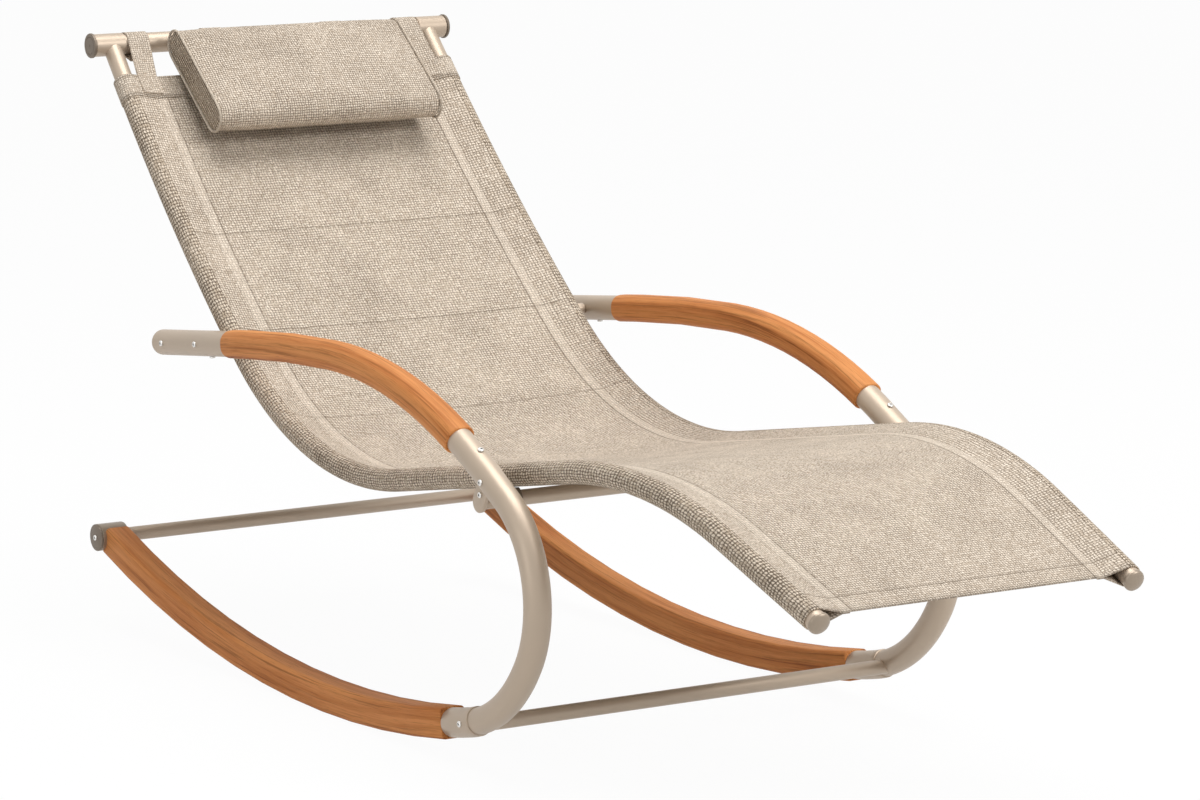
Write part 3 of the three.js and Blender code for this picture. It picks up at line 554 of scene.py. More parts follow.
# Turned metal parts: domed plugs in the stubs and in the rails' lower ends, flat caps on the
# rear blocks and on the top bar's sleeves, all turned from bar and pressed in.
def turned(centre, direction, profile, around=48):
    """A piece turned on a lathe: a ring carried up a profile of radius and height."""
    first, *rest = profile
    bpy.ops.mesh.primitive_circle_add(
        vertices=around, radius=first[0], location=(0, 0, first[1]), fill_type="NGON"
    )
    piece = bpy.context.object
    ready()
    bpy.ops.mesh.select_mode(type="EDGE")
    radius, height = first
    for next_radius, next_height in rest:
        bpy.ops.mesh.extrude_edges_move(
            TRANSFORM_OT_translate={"value": (0, 0, next_height - height)}
        )
        share = next_radius / radius
        bpy.ops.transform.resize(value=(share, share, 1))
        radius, height = next_radius, next_height
    bpy.ops.mesh.edge_face_add()
    bpy.ops.mesh.select_all(action="SELECT")
    bpy.ops.mesh.normals_make_consistent(inside=False)
    bpy.ops.object.mode_set(mode="OBJECT")
    piece.rotation_mode = "QUATERNION"
    piece.rotation_quaternion = Vector(direction).to_track_quat("Z", "Y")
    piece.location = centre
    return piece


def dome(radius, height, skirt, steps=8):
    """The profile of a shallow dome on a short skirt."""
    points = [(radius, -skirt)]
    for i in range(steps):
        angle = math.pi / 2 * i / steps
        points.append((radius * math.cos(angle) ** 0.5, height * math.sin(angle)))
    return points


for name, side in side_frames:
    x, z, heading = side_line.at(stub_end)
    stub_plug = turned(
        (x, side * rocker_half, z),
        (math.cos(heading), 0, math.sin(heading)),
        dome(tube_radius, height=0.0085, skirt=0.001),
    )
    settled(
        stub_plug, f"stub_plug_{name}", champagne_metal, "champagne_metal", f"{name}_stub_plug"
    )


# Rear blocks: short lengths of thick round bar across the rockers' rear ends, with a flat cap
# and a screw outside, through which the rear crossbar runs.
block_radius = 0.0185
block_outer = 0.326
block_inner = 0.283
block_cap_height = 0.003
cap_gap = 0.0003
block_width = block_outer - block_cap_height - cap_gap - block_inner
rear_x, rear_z, _ = on_rocker(-rocker_rear_turn)

for name, side in side_frames:
    out = (0, side, 0)
    block = turned(
        (rear_x, side * block_inner, rear_z),
        out,
        [
            (block_radius - 0.003, 0),
            (block_radius - 0.0009, 0.0009),
            (block_radius, 0.003),
            (block_radius, block_width - 0.0004),
            (block_radius - 0.0004, block_width),
        ],
    )
    # The block takes the champagne coat darkened as painted shade.
    settled(block, f"rear_block_{name}", painted_shade_metal, "dark_metal", f"{name}_rear_block")
    cap = turned(
        (rear_x, side * (block_outer - block_cap_height), rear_z),
        out,
        [
            (block_radius - 0.0004, 0),
            (block_radius, 0.0004),
            (block_radius, 0.0018),
            (block_radius - 0.0004, 0.0026),
            (block_radius - 0.0013, block_cap_height),
        ],
    )
    settled(cap, f"block_cap_{name}", dark_metal, "dark_metal", f"{name}_block_cap")


# Crossbars: four straight round tubes that tie the two side frames together, at the rockers'
# rear ends, low at the front, behind the armrests and under the seat's rails.
bar_radius = 0.0095
bar_end_round = 0.0008
front_bar_along = 0.076
front_bar_below = -0.005
back_bar_inset = 0.025
seat_bar_half = 0.297
head_back = 0.696017
head_up = 0.788985
head_slope = math.radians(-48.2)
rail_line = BentLine(
    lowest.x - head_back,
    lowest.z + head_up,
    head_slope,
    (3.490, 8.9, 0),
    (0.502, 49.4, 0),
    (0, 0, 0.390),
    (0.577, -31.3, 0),
    (0, 0, 0.184),
)


def cross_bar(name, spot, half, radius, replaced):
    """A straight round tube across the chair, with its ends' edges broken."""
    bpy.ops.mesh.primitive_cylinder_add(
        vertices=40,
        radius=radius,
        depth=2 * half,
        location=(spot.x, 0, spot.z),
        rotation=(math.pi / 2, 0, 0),
    )
    bar = bpy.context.object
    ends_rounded(bar, bar_end_round, 2)
    settled(bar, name, champagne_metal, "champagne_metal", replaced)


tube_side = rocker_half - tube_radius / 2
rear_bar = Vector((rear_x, 0, rear_z))
front_bar = side_line.off(front_bar_along, front_bar_below)
back_bar = side_line.off(stub_end - back_bar_inset, 0)
seat_bar = sum(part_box("seat_crossbar"), Vector()) / 2
cross_bar("crossbar_rear", rear_bar, block_outer - 0.004, bar_radius, "rear_crossbar")
cross_bar("crossbar_front", front_bar, tube_side, bar_radius, "front_crossbar")
cross_bar("crossbar_back", back_bar, tube_side, bar_radius, "back_crossbar")
cross_bar("crossbar_seat", seat_bar, seat_bar_half, bar_radius, "seat_crossbar")


# Seat lugs, rail saddles and spacers: small cut and drilled metal parts between the seat's rails
# and the side frames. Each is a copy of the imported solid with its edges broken.
def edges_broken(name, node, finish, slot, width):
    """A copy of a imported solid, its triangles joined to faces and its edges rounded."""
    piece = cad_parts[node].copy()
    piece.data = piece.data.copy()
    piece.parent = None
    for key in list(piece.keys()):
        del piece[key]
    bpy.context.scene.collection.objects.link(piece)
    only(piece)
    ready()
    bpy.ops.mesh.remove_doubles(threshold=0.00002)
    bpy.ops.mesh.dissolve_limited(angle_limit=math.radians(2))
    bpy.ops.object.mode_set(mode="OBJECT")
    bevel = piece.modifiers.new("broken_edges", "BEVEL")
    bevel.width = width
    bevel.segments = 2
    bevel.limit_method = "ANGLE"
    bevel.angle_limit = math.radians(50)
    bpy.ops.object.modifier_apply(modifier=bevel.name)
    settled(piece, name, finish, slot, node)


for name, side in side_frames:
    edges_broken(f"lug_{name}", f"{name}_seat_lug", champagne_metal, "champagne_metal", 0.0008)
    edges_broken(f"saddle_{name}", f"{name}_rail_saddle", dark_metal, "dark_metal", 0.0006)
    edges_broken(
        f"spacer_{name}", f"{name}_rail_spacer", champagne_metal, "champagne_metal", 0.0006
    )


# Sling rails: two bent tubes that carry the sling from head to foot. They bow in towards both
# ends, and a broad shallow plug closes each lower end.
rail_radius = 0.0125
rail_half = 0.2586
rail_bow_radius = 15.570
rail_bow_x = lowest.x - 0.120


def rail_y(x):
    return rail_half - (x - rail_bow_x) ** 2 / (2 * rail_bow_radius)


def bowed(piece, side):
    """Moves a piece's points out to a bowed rail."""
    for point in piece.data.vertices:
        point.co.y += side * rail_y(point.co.x)


foot_x, foot_z, foot_heading = rail_line.at(rail_line.length)
for name, side in side_frames:
    rail = round_bar(rail_line, tube_overlap, rail_line.length, 0, rail_radius)
    settled(rail, f"rail_{name}", champagne_metal, "champagne_metal", f"{name}_sling_rail")
    bowed(rail, side)
    foot_plug = turned(
        (foot_x, 0, foot_z),
        (math.cos(foot_heading), 0, math.sin(foot_heading)),
        [
            (0.0128, 0.0003),
            (0.0135, 0.0009),
            (0.0135, 0.0032),
            (0.0130, 0.0046),
            (0.0118, 0.0058),
            (0.0095, 0.0070),
            (0.0062, 0.0081),
            (0.0028, 0.0088),
            (0.0004, 0.0090),
        ],
    )
    # The foot plug takes the champagne coat darkened as painted shade.
    settled(foot_plug, f"foot_plug_{name}", painted_shade_metal, "champagne_metal", f"{name}_foot_plug")
    bowed(foot_plug, side)


# Top bar: a straight tube between the rails' heads. Each rail is let into a sleeve on the bar's
# end, which is closed with a flat grooved cap.
top_radius = 0.014
tee_radius = 0.0155
top = rail_line.off(0, 0)
head_half = rail_y(top.x)
tee_inner = head_half - 0.0165
tee_face = head_half + 0.0285
tee_length = tee_face - tee_inner - cap_gap
cross_bar("top_tube", top, tee_face - 0.001, top_radius, "top_bar")
for name, side in side_frames:
    tee = turned(
        (top.x, side * tee_inner, top.z),
        (0, side, 0),
        [
            (tee_radius - 0.0006, 0),
            (tee_radius, 0.0006),
            (tee_radius, tee_length - 0.0005),
            (tee_radius - 0.0006, tee_length),
        ],
    )
    settled(tee, f"tee_{name}", champagne_metal, "champagne_metal", f"{name}_tee_sleeve")
    cap = turned(
        (top.x, side * tee_face, top.z),
        (0, side, 0),
        [
            (0.0162, 0),
            (0.0170, 0.0006),
            (0.0170, 0.0028),
            (0.0164, 0.0038),
            (0.0156, 0.0040),
            (0.0124, 0.0040),
            (0.0121, 0.0035),
            (0.0116, 0.0035),
            (0.0113, 0.0040),
            (0.0022, 0.0040),
            (0.0016, 0.0034),
            (0.0006, 0.0032),
        ],
    )
    settled(cap, f"tee_cap_{name}", dark_metal, "dark_metal", f"{name}_tee_cap")


# Screws: sixteen bright domed heads with a small socket painted near black as shadow, all turned
# alike and driven in where the imported solids have them.
screw_steel = Finish("screw_steel")
brushed = screw_steel.speckle(screw_steel.object_place(), 900.0, 2.0, 0.5)
screw_steel.set(
    Base_Color=screw_steel.mixed(brushed, (0.66, 0.64, 0.61), (0.82, 0.81, 0.78)),
    Metallic=0.9,
    Roughness=0.22 + brushed * 0.1,
)
# The socket's near black is painted shadow in its recess, faintly speckled.
socket_painted_shadow = Finish("socket_shadow")
socket_shadow_speckle = socket_painted_shadow.speckle(socket_painted_shadow.object_place(), 700.0, 2.0, 0.5)
socket_painted_shadow.set(
    Base_Color=socket_painted_shadow.mixed(socket_shadow_speckle, (0.018, 0.015, 0.013), (0.05, 0.044, 0.038)),
    Roughness=0.6,
)
head_radius = 0.004
head_height = 0.002
socket_depth = 0.0011
smallest_head_face = 1.5e-8
under_screw_along = 0.061
top_screw_along = 0.045


def screw_head(name, node, direction):
    """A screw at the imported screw's place, looking along a direction."""
    low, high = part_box(node)
    middle = (low + high) / 2
    along = Vector(direction)
    reach = sum(abs(along[i]) * (high[i] - low[i]) / 2 for i in range(3))
    slack = head_radius * math.sqrt(max(0, 1 - max(abs(c) for c in along) ** 2))
    seat = middle + along * (reach - slack - head_height)
    piece = turned(
        seat,
        direction,
        [
            (head_radius * 0.96, -0.0004),
            (head_radius, 0.0003),
            (head_radius * 0.97, 0.0009),
            (head_radius * 0.86, 0.0015),
            (head_radius * 0.66, 0.0019),
            (head_radius * 0.46, head_height),
            (head_radius * 0.40, head_height - 0.0002),
            (head_radius * 0.38, head_height - socket_depth),
        ],
        around=24,
    )
    settled(piece, name, screw_steel, "screw_steel", node)
    # The faces down in the socket take the painted shadow.
    piece.data.materials.append(socket_painted_shadow.material)
    deep = seat + along * (head_height - socket_depth)
    for face in piece.data.polygons:
        inside = (face.center - deep).length < head_radius * 0.3
        face.material_index = int(inside or face.area < smallest_head_face)


stub_heading = side_line.at(stub_start + under_screw_along)[2]
top_heading = side_line.at(arm_front - top_screw_along)[2]
for name, side in side_frames:
    out = (0, side, 0)
    for node in (
        "sleeve_screw",
        "tube_side_screw",
        "stub_end_screw",
        "rail_bolt",
        "block_screw",
        "lug_bolt",
    ):
        screw_head(f"{node}_{name}", f"{name}_{node}", out)
    down = (-math.sin(stub_heading), 0, math.cos(stub_heading))
    screw_head(f"stub_under_screw_{name}", f"{name}_stub_under_screw", down)
    up = (math.sin(top_heading), 0, -math.cos(top_heading))
    screw_head(f"tube_top_screw_{name}", f"{name}_tube_top_screw", up)


# The sling: one width of coarse woven cloth in mixed beige yarns. Each long edge is folded round
# its rail and stitched to the sheet's underside, and the foot end is hemmed.
cloth = 0.0016
cloth_gap = 0.0003
cloth_edge_hem = 0.012
sheet_middle = 0.0037
seam_setback = 0.038
sling_start = 0.0973
sling_end = rail_line.length - 0.007
sling_sag = 0.009
sling_step = 0.011
foot_hem = 0.028
hem_width = 0.0150
sleeve_from_rail = 0.006


def woven(name, pitch, contrast, yarns, seam_and_shadow_lines=(), hem=0.0, spread=1.0):
    """Coarse plain weave: yarns over and under each other, each yarn of its own tone.

    The drift and jitter pull the yarns off their even spacing, the gaps between them are painted
    dark as shade, and seam lines and hems are pressed in and stitched, drawn dark as stitching
    and, at the band's lower edge, also as painted shadow.
    """
    light, mid, dark = yarns
    weave = Finish(name)
    tree = weave.tree
    place = weave.node("ShaderNodeAttribute", {"attribute_name": "laid"}, "Vector")

    def stretched(scale):
        return weave.node("ShaderNodeMapping", Vector=place, Scale=(scale, scale, scale))

    along = weave.node("ShaderNodeSeparateXYZ", (), "X", Vector=place)
    beside = Wire(tree, along.socket.node.outputs["Z"])
    drift = weave.speckle(stretched(70), 1.0, 2.0)
    jitter = weave.speckle(stretched(260), 1.0, 1.0)
    warp = beside / (pitch * spread) + drift * 1.1 + jitter * 1.0
    weft = along / pitch + drift * 0.8 + jitter * 0.8
    warp_thread = warp.maths("FLOOR", warp)
    weft_thread = weft.maths("FLOOR", weft)
    crossing = warp_thread + weft_thread
    over = crossing.maths("FLOORED_MODULO", crossing, 2.0)
    warp_off = warp.maths("ABSOLUTE", warp - warp_thread - 0.5)
    weft_off = weft.maths("ABSOLUTE", weft - weft_thread - 0.5)
    warp_height = (1 - (warp_off * 2) ** 2.2) * (1 - (weft_off * 1.6) ** 2)
    weft_height = (1 - (weft_off * 2) ** 2.2) * (1 - (warp_off * 1.6) ** 2)
    height = warp_height * over + weft_height * (1 - over)
    warp_vector = weave.node(
        "ShaderNodeCombineXYZ", X=warp_thread * 0.73, Y=along * 55.0, Z=over * 3.1
    )
    weft_vector = weave.node(
        "ShaderNodeCombineXYZ", X=beside * 55.0, Y=weft_thread * 0.81, Z=over * 3.1
    )
    warp_tone = weave.speckle(warp_vector, 1.0, 1.0)
    weft_tone = weave.speckle(weft_vector, 1.0, 1.0)
    tone = warp_tone * over + weft_tone * (1 - over)
    fuzz = weave.speckle(stretched(800), 1.0, 2.0)
    patch = weave.speckle(stretched(12), 1.0, 4.0, 0.6)
    yarn = weave.node(
        "ShaderNodeValToRGB",
        {"stops": [(0.42, mid), (0.55, light)]},
        Fac=tone * 0.42 + jitter * 0.26 + fuzz * 0.12 + patch * 0.10 + drift * 0.10,
    )
    loose = (patch - 0.5) * 0.9 + (tone - 0.5) * 0.8
    # The gaps between the yarns are painted dark: painted shade between the threads.
    gap = weave.rise(height - loose, 0.78, 0.24, contrast)
    relief = height
    shaded = weave.mixed(gap, yarn, dark)
    lines = [along.maths("ABSOLUTE", along + drift * 0.004 - stop) for stop in seam_and_shadow_lines]
    if hem:
        far = beside.maths("ABSOLUTE", beside)
        fold = weave.rise(far, hem - hem_width, hem - 0.0135)
        turned_in = fold * weave.rise(far, hem + 0.0010, hem)
        shaded = weave.mixed(turned_in * 0.30, shaded, light)
        relief = relief + turned_in * 0.8
        lines.append(far.maths("ABSOLUTE", far - (hem - hem_width)))
    # Seam and stitch lines are drawn dark and pressed in; the band's lower-edge line is also
    # painted shadow.
    for away in lines:
        line = weave.rise(away, 0.0024, 0.0006, 0.34)
        shaded = weave.mixed(line, shaded, dark)
        relief = relief - line * 2.0
    weave.set(Base_Color=shaded, Roughness=0.9, Specular_IOR_Level=0.12)
    weave.relief(relief, 0.0011, 0.9)
    return weave


yarn_light = (0.84, 0.735, 0.613)
yarn_mid = (0.545, 0.453, 0.357)
# The darkest tone is painted shade in the gaps between the yarns, and the colour of the seam
# lines.
gap_shade_and_seam_dark = (0.140, 0.098, 0.064)
yarns = (yarn_light, yarn_mid, gap_shade_and_seam_dark)
# The sleeves round the rails are the same cloth in darker yarns, painted darker as shade, with a
# coarser weave.
sleeve_shade_yarns = ((0.78, 0.67, 0.545), (0.48, 0.39, 0.295), (0.085, 0.055, 0.032))
seam_places = (0.340, 0.512, 0.690, sling_end - foot_hem)
seam_y = rail_half - seam_setback
sling_cloth = woven("sling_cloth", 0.0042, 0.72, yarns, seam_and_shadow_lines=seam_places, hem=seam_y)
sleeve_shade_cloth = woven("sleeve_shade_cloth", 0.0056, 0.86, sleeve_shade_yarns, spread=0.62)


def sling_profile(lift, hem):
    """Half of the cloth's section from the middle out: sheet, sleeve round the rail, and hem."""
    radius = rail_radius + cloth_gap + cloth / 2 + lift
    level = sheet_middle + lift
    under = sheet_middle - cloth * 1.02
    points = []
    sheet_steps = 30
    for i in range(sheet_steps):
        points.append((seam_y * i / sheet_steps, level))
    reach = math.hypot(seam_setback, level)
    top_turn = math.pi - math.acos(radius / reach) - math.atan2(level, seam_setback)
    low_reach = math.hypot(seam_setback, under)
    low_turn = math.acos(radius / low_reach) - math.pi - math.atan2(under, seam_setback)
    first = (rail_half + radius * math.cos(top_turn), radius * math.sin(top_turn))
    last = (rail_half + radius * math.cos(low_turn), radius * math.sin(low_turn))
    seam = (seam_y, level)
    wall_steps = 6
    for i in range(wall_steps):
        share = i / wall_steps
        points.append(tuple(a + (b - a) * share for a, b in zip(seam, first)))
    arc_steps = 22
    for i in range(arc_steps):
        angle = top_turn + (low_turn - top_turn) * i / arc_steps
        points.append((rail_half + radius * math.cos(angle), radius * math.sin(angle)))
    low_seam = (seam_y, under)
    for i in range(wall_steps + 1):
        share = i / wall_steps
        points.append(tuple(a + (b - a) * share for a, b in zip(last, low_seam)))
    points.append((seam_y - hem, under))
    return points


def sag_at(distance):
    """How far the sheet's middle hangs down, at a distance along the rails."""
    share = min(1, max(0, (distance - sling_start) / (sling_end - sling_start)))
    return sling_sag * math.sin(math.pi * share) ** 2


def cut_cloth(name, points, places, wide):
    """A sheet of cloth of its real thickness, through rows of points that are so many wide."""
    faces = []
    for row in range(len(points) // wide - 1):
        for column in range(wide - 1):
            a = row * wide + column
            faces.append((a, a + 1, a + wide + 1, a + wide))
    mesh = bpy.data.meshes.new(name)
    mesh.from_pydata(points, [], faces)
    piece = bpy.data.objects.new(name, mesh)
    note_laid(piece, places)
    bpy.context.scene.collection.objects.link(piece)
    only(piece)
    thick = piece.modifiers.new("cloth", "SOLIDIFY")
    thick.thickness = cloth
    thick.offset = 0
    bpy.ops.object.modifier_apply(modifier=thick.name)
    return piece


def cloth_over_rails(name, start, end, step, lift, body_of_cloth, edge_cloth):
    """A sheet of cloth stretched between the rails, with a sleeve round each of them."""
    half = sling_profile(lift, cloth_edge_hem)
    section = [(-y, n) for y, n in reversed(half[1:])] + half
    girth = [0]
    for (y0, n0), (y1, n1) in zip(section, section[1:]):
        girth.append(girth[-1] + math.hypot(y1 - y0, n1 - n0))
    middle = girth[-1] / 2
    count = max(2, round((end - start) / step))
    points = []
    places = []
    for i in range(count + 1):
        distance = start + (end - start) * i / count
        x, z, heading = rail_line.at(distance)
        inward = rail_half - rail_y(x)
        for (y, n), along in zip(section, girth):
            share = min(1, abs(y) / seam_y)
            drop = sag_at(distance) * (1 - share**2) if abs(y) < seam_y else 0
            level = n - drop
            points.append(
                (
                    x - level * math.sin(heading),
                    y - math.copysign(inward * share, y),
                    z + level * math.cos(heading),
                )
            )
            places.append((distance, 0, along - middle))
    piece = cut_cloth(name, points, places, len(section))
    mesh = piece.data
    mesh.materials.append(body_of_cloth.material)
    mesh.materials.append(edge_cloth.material)
    mesh.polygons.foreach_set("use_smooth", [True] * len(mesh.polygons))
    for face in mesh.polygons:
        inward = rail_half - rail_y(face.center.x)
        past = abs(face.center.y) + inward
        face.material_index = int(past > rail_half - sleeve_from_rail)
    return piece, girth[-1]


sling, girth = cloth_over_rails(
    "sling_sheet", sling_start, sling_end, sling_step, 0, sling_cloth, sleeve_shade_cloth
)
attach(sling, "chair")
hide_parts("sling")


# The head band: a second strip of the same cloth, sewn over the sling's upper end and folded
# round the rails outside it.
band_start = 0.062
band_end = 0.0985
band_step = 0.006
band_lift = 0.0008
# The band's two stitch lines; the lower one, along its lower edge, is also a painted shadow line.
band_stitch_and_shadow_lines = (0.0665, 0.0975)
band_cloth = woven("band_cloth", 0.0034, 0.62, yarns, seam_and_shadow_lines=band_stitch_and_shadow_lines)
band, band_girth = cloth_over_rails(
    "band_across", band_start, band_end, band_step, band_lift + 0.0004, band_cloth, band_cloth
)
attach(band, "chair")
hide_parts("head_band")


# Straps: two short straps of the band's cloth, sewn to it at the front. They go up round the top
# bar and back down, and hold the sling up.
strap_middle = 0.213
strap_width = 0.032
strap_end = 0.092
strap_slant = 0.006
strap_steps = 5
strap_columns = 6
weave_start = 0.2
band_seam = rail_y(rail_line.at(band_end)[0]) - seam_setback


def strip(name, path, y, width, finish, body, replaced, climb=None):
    """A flat strap along a path of points in the upright plane, lying across the chair."""
    points = []
    places = []
    along = 0
    for i, point in enumerate(path):
        if i:
            along += (point - path[i - 1]).length
        for column in range(strap_columns + 1):
            place = y + width * (column / strap_columns - 0.5)
            lifted = point + (climb(i, place) if climb else Vector((0, 0, 0)))
            points.append((lifted.x, place + lifted.y, lifted.z))
            places.append((along + weave_start, 0, place))
    piece = cut_cloth(name, points, places, strap_columns + 1)
    settled(piece, name, finish, "sling_fabric", replaced, body=body, smooth=50)


def round_the_bar(radius, from_angle, to_angle, steps=22):
    """Points of an arc round the top bar's axis."""
    angles = [from_angle + (to_angle - from_angle) * i / steps for i in range(steps + 1)]
    return [top + Vector((radius * math.cos(a), 0, radius * math.sin(a))) for a in angles]


strap_lift = sheet_middle + 0.0030
bar_wrap = top_radius + 0.0004 + cloth / 2
front_meet = rail_line.off(band_start, strap_lift)
to_front = front_meet - top
front_angle = math.atan2(to_front.z, to_front.x) + math.acos(bar_wrap / to_front.length)
back_meet = rail_line.off(0.030, 0.0012)
to_back = back_meet - top
back_angle = math.atan2(to_back.z, to_back.x) - math.acos(bar_wrap / to_back.length) + 2 * math.pi
wrap = round_the_bar(bar_wrap, front_angle, back_angle)
tail = [
    rail_line.off(strap_end - (strap_end - band_start) * i / strap_steps, strap_lift)
    for i in range(strap_steps + 1)
]
rising = [tail[-1] + (wrap[0] - tail[-1]) * i / strap_steps for i in range(1, strap_steps)]
strap_path = tail + rising + wrap + [back_meet]
radius_of_band = rail_radius + cloth_gap + cloth / 2 + band_lift
reach_of_band = math.hypot(seam_setback, sheet_middle + band_lift)
band_slope = math.tan(
    math.pi / 2
    - math.acos(radius_of_band / reach_of_band)
    - math.atan2(sheet_middle + band_lift, seam_setback)
)


def over_band(i, place):
    """How far the strap is lifted where the band's sleeve rises under it."""
    share = 1 if i < len(tail) else max(0, 1 - (i - len(tail) + 1) / strap_steps)
    slant = math.copysign(strap_slant * share, place)
    past = max(0, abs(place + slant) - band_seam) * band_slope * share
    return Vector((-math.sin(head_slope) * past, slant, math.cos(head_slope) * past))


for name, side in side_frames:
    strip(
        f"strap_{name}",
        strap_path,
        side * strap_middle,
        strap_width,
        band_cloth,
        "chair",
        f"{name}_sling_strap",
        over_band,
    )


# The head pillow: a soft bolster of the same yarns with a flat panel and a corded seam at each
# end, the panels in darker yarns as painted shade. It hangs on the top bar by two loops and turns
# over with them.
pillow_length = 0.346
pillow_depth = 0.180
pillow_thickness = 0.050
pillow_crown = 0.008
pillow_end_squeeze = 0.20
pillow_start = 0.0115
pillow_lean = 0.024
pillow_back = 0.0059
pillow_middle = pillow_start + pillow_depth / 2
pillow_heading = rail_line.at(pillow_middle)[2] + math.atan(pillow_lean / pillow_depth)
pillow_height = pillow_back + pillow_lean / 2 + pillow_thickness / 2
pillow_place = rail_line.off(pillow_middle, pillow_height)

# The end panels are the pillow's cloth in darker yarns, painted darker as shade.
panel_shade_yarns = ((0.68, 0.575, 0.455), (0.43, 0.350, 0.265), (0.10, 0.067, 0.04))
pillow_cloth = woven("pillow_cloth", 0.0036, 0.80, yarns)
panel_shade_cloth = woven("panel_shade_cloth", 0.0040, 0.90, panel_shade_yarns)
pillow_corner = pillow_thickness / 2 - 0.0008
end_panel = 0.0025
rim_depth = 0.003
rim_width = 0.006
cover_mesh = 0.0045
stuffing_pressure = 0.7
stuffing_frames = 20


def into_place(piece):
    """Turns and moves a piece made at the origin to where the pillow lies."""
    piece.rotation_euler = (0, -pillow_heading, 0)
    piece.location = pillow_place


def from_edge(point):
    """How far inside the pillow's end outline a point lies."""
    past = max(0, abs(point.x) - (pillow_depth / 2 - pillow_corner))
    return pillow_corner - math.hypot(past, point.z / (1 - pillow_end_squeeze))


def padded_shell():
    """The pillow's cover, evenly meshed, stuffed by a cloth simulation with its rims held."""
    bpy.ops.mesh.primitive_cube_add(size=1)
    shell = bpy.context.object
    shell.scale = (pillow_depth, pillow_length, pillow_thickness)
    bpy.ops.object.transform_apply(location=False, rotation=False, scale=True)
    bpy.ops.object.mode_set(mode="EDIT")
    bpy.ops.mesh.select_mode(type="EDGE")
    bpy.ops.mesh.select_all(action="DESELECT")
    bpy.ops.object.mode_set(mode="OBJECT")
    for edge in shell.data.edges:
        ends = [shell.data.vertices[v].co for v in edge.vertices]
        edge.select = abs(ends[0].y - ends[1].y) > pillow_length / 2
    bpy.ops.object.mode_set(mode="EDIT")
    bpy.ops.mesh.bevel(offset=pillow_corner, segments=10)
    bpy.ops.object.mode_set(mode="OBJECT")
    remesh = shell.modifiers.new("even_mesh", "REMESH")
    remesh.mode = "VOXEL"
    remesh.voxel_size = cover_mesh
    bpy.ops.object.modifier_apply(modifier=remesh.name)
    for point in shell.data.vertices:
        full = 1 - min(1, abs(2 * point.co.y / pillow_length)) ** 4
        middling = max(0, 1 - (point.co.x / (pillow_depth / 2 - pillow_corner)) ** 2)
        if point.co.z > 0:
            lift = pillow_crown * 0.6 * full * middling
            point.co.z += lift * point.co.z / (pillow_thickness / 2)
        point.co.z *= 1 - pillow_end_squeeze * (1 - full)
    rim = shell.vertex_groups.new(name="rim")
    held = [
        point.index
        for point in shell.data.vertices
        if abs(point.co.y) > pillow_length / 2 - rim_depth and from_edge(point.co) < rim_width
    ]
    rim.add(held, 1.0, "REPLACE")
    cloth_rules = shell.modifiers.new("stuffing", "CLOTH")
    rules = cloth_rules.settings
    rules.use_pressure = True
    rules.uniform_pressure_force = stuffing_pressure
    rules.effector_weights.gravity = 0
    rules.vertex_group_mass = rim.name
    for frame_number in range(1, stuffing_frames + 1):
        bpy.context.scene.frame_set(frame_number)
    bpy.ops.object.modifier_apply(modifier=cloth_rules.name)
    bpy.context.scene.frame_set(1)
    for point in shell.data.vertices:
        point.co.z = max(point.co.z, -pillow_thickness / 2)
    return shell


pillow = padded_shell()
smoother = pillow.modifiers.new("finer", "SUBSURF")
smoother.levels = 1
smoother.render_levels = 1
bpy.ops.object.modifier_apply(modifier=smoother.name)
round_run = math.pi / 2 * pillow_thickness / 2
flat_run = pillow_depth - pillow_thickness


def on_cover(point):
    """Where a point lies in the weave: round the pillow's girth, or flat on an end panel."""
    across, y, height = point
    if abs(y) > pillow_length / 2 - end_panel:
        return height, 0, across
    past = abs(across) - flat_run / 2
    angle = math.atan2(past, abs(height)) if past > 0 else 0
    run = min(abs(across), flat_run / 2) + angle * pillow_thickness / 2
    return math.copysign(run if height > 0 else 2 * round_run - run, across), 0, y


note_laid(pillow, [on_cover(point.co) for point in pillow.data.vertices])
into_place(pillow)
settled(pillow, "pillow", pillow_cloth, "pillow_fabric", "head_pillow", body="pillow", smooth=80)
# Faces that look out of the pillow's ends take the panels' painted shade.
pillow.data.materials.append(panel_shade_cloth.material)
for face in pillow.data.polygons:
    face.material_index = int(abs(face.normal.y) > 0.8)


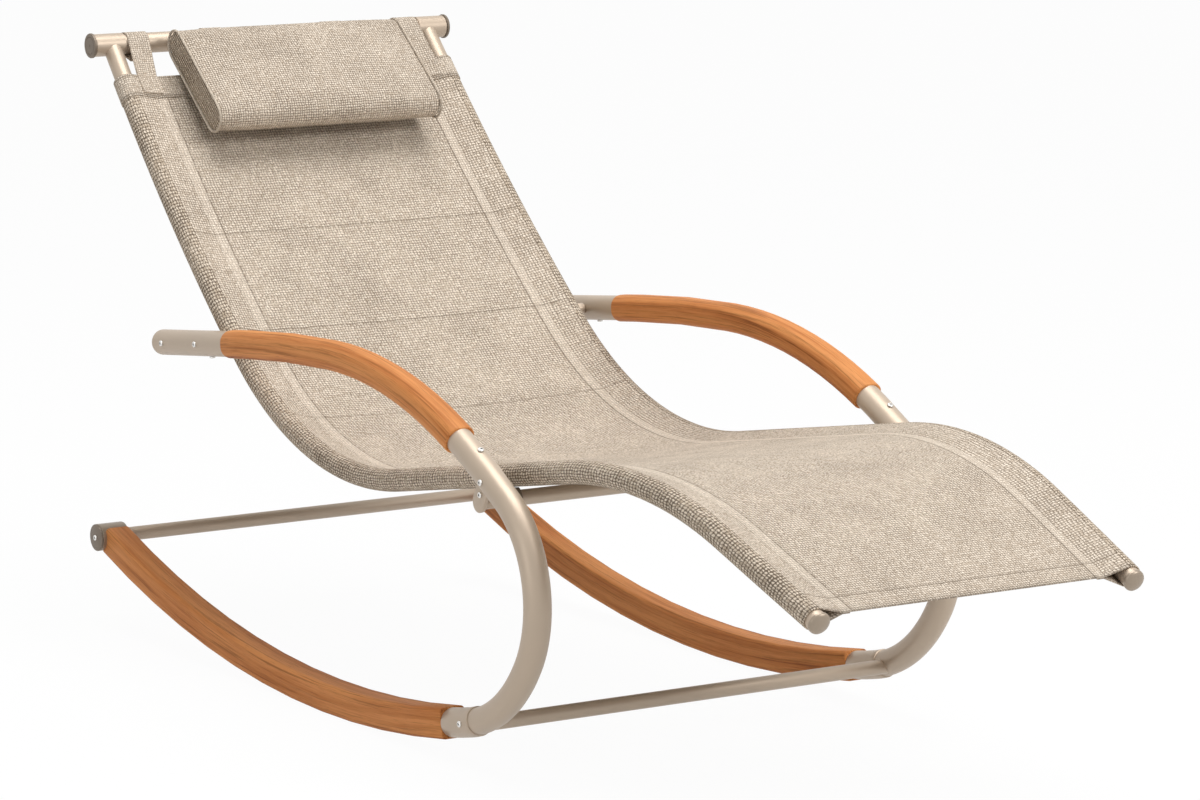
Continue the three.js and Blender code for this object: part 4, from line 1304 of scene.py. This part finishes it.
# Piping: a thin cord in a strip of fine cloth, sewn into the seam round each of the pillow's two
# end panels.
piping_radius = 0.0018
piping_out = 0.0014
piping_in = 0.0006
piping_yarns = ((0.80, 0.70, 0.58), (0.62, 0.52, 0.41), (0.28, 0.21, 0.15))
piping_cloth = woven("piping_cloth", 0.0016, 0.40, piping_yarns)
for name, side in side_frames:
    bpy.ops.mesh.primitive_plane_add(size=1)
    piping = bpy.context.object
    piping.scale = (pillow_depth + piping_out, pillow_thickness + piping_out, 1)
    bpy.ops.object.transform_apply(location=False, rotation=False, scale=True)
    ready()
    bpy.ops.mesh.bevel(offset=pillow_corner, segments=12, affect="VERTICES")
    bpy.ops.mesh.select_all(action="SELECT")
    bpy.ops.mesh.delete(type="ONLY_FACE")
    bpy.ops.object.mode_set(mode="OBJECT")
    for point in piping.data.vertices:
        height = point.co.y * (1 - pillow_end_squeeze)
        point.co = Vector((point.co.x, side * (pillow_length / 2 - piping_in), height))
    bpy.ops.object.convert(target="CURVE")
    piping.data.bevel_depth = piping_radius
    piping.data.bevel_resolution = 3
    bpy.ops.object.convert(target="MESH")
    into_place(piping)
    settled(piping, f"piping_{name}", piping_cloth, "pillow_fabric", body="pillow", smooth=80)
    note_laid(piping, [(p.co.x + p.co.z, 0, p.co.y) for p in piping.data.vertices])


# Loops: two straps of the band's cloth, sewn into the pillow's upper seam. They go round the top
# bar, on which they turn with the pillow.
loop_middle = 0.095
loop_width = 0.030
loop_seam_along = 0.025
loop_seam_above = 0.028
loop_seam_short = 0.023
loop_seam = rail_line.off(pillow_start + loop_seam_along, pillow_back + loop_seam_above)
to_pillow = loop_seam - top
loop_tip = to_pillow.length - loop_seam_short
tip_angle = math.atan2(to_pillow.z, to_pillow.x)
loop_open = math.acos(bar_wrap / loop_tip)
tip = top + to_pillow.normalized() * loop_tip
wrapped = round_the_bar(bar_wrap, tip_angle + loop_open, tip_angle + 2 * math.pi - loop_open)
for name, side in side_frames:
    strip(
        f"loop_{name}",
        [tip, *wrapped, tip + Vector((0, 0, -cloth))],
        side * loop_middle,
        loop_width,
        band_cloth,
        "pillow",
        f"{name}_pillow_loop",
    )
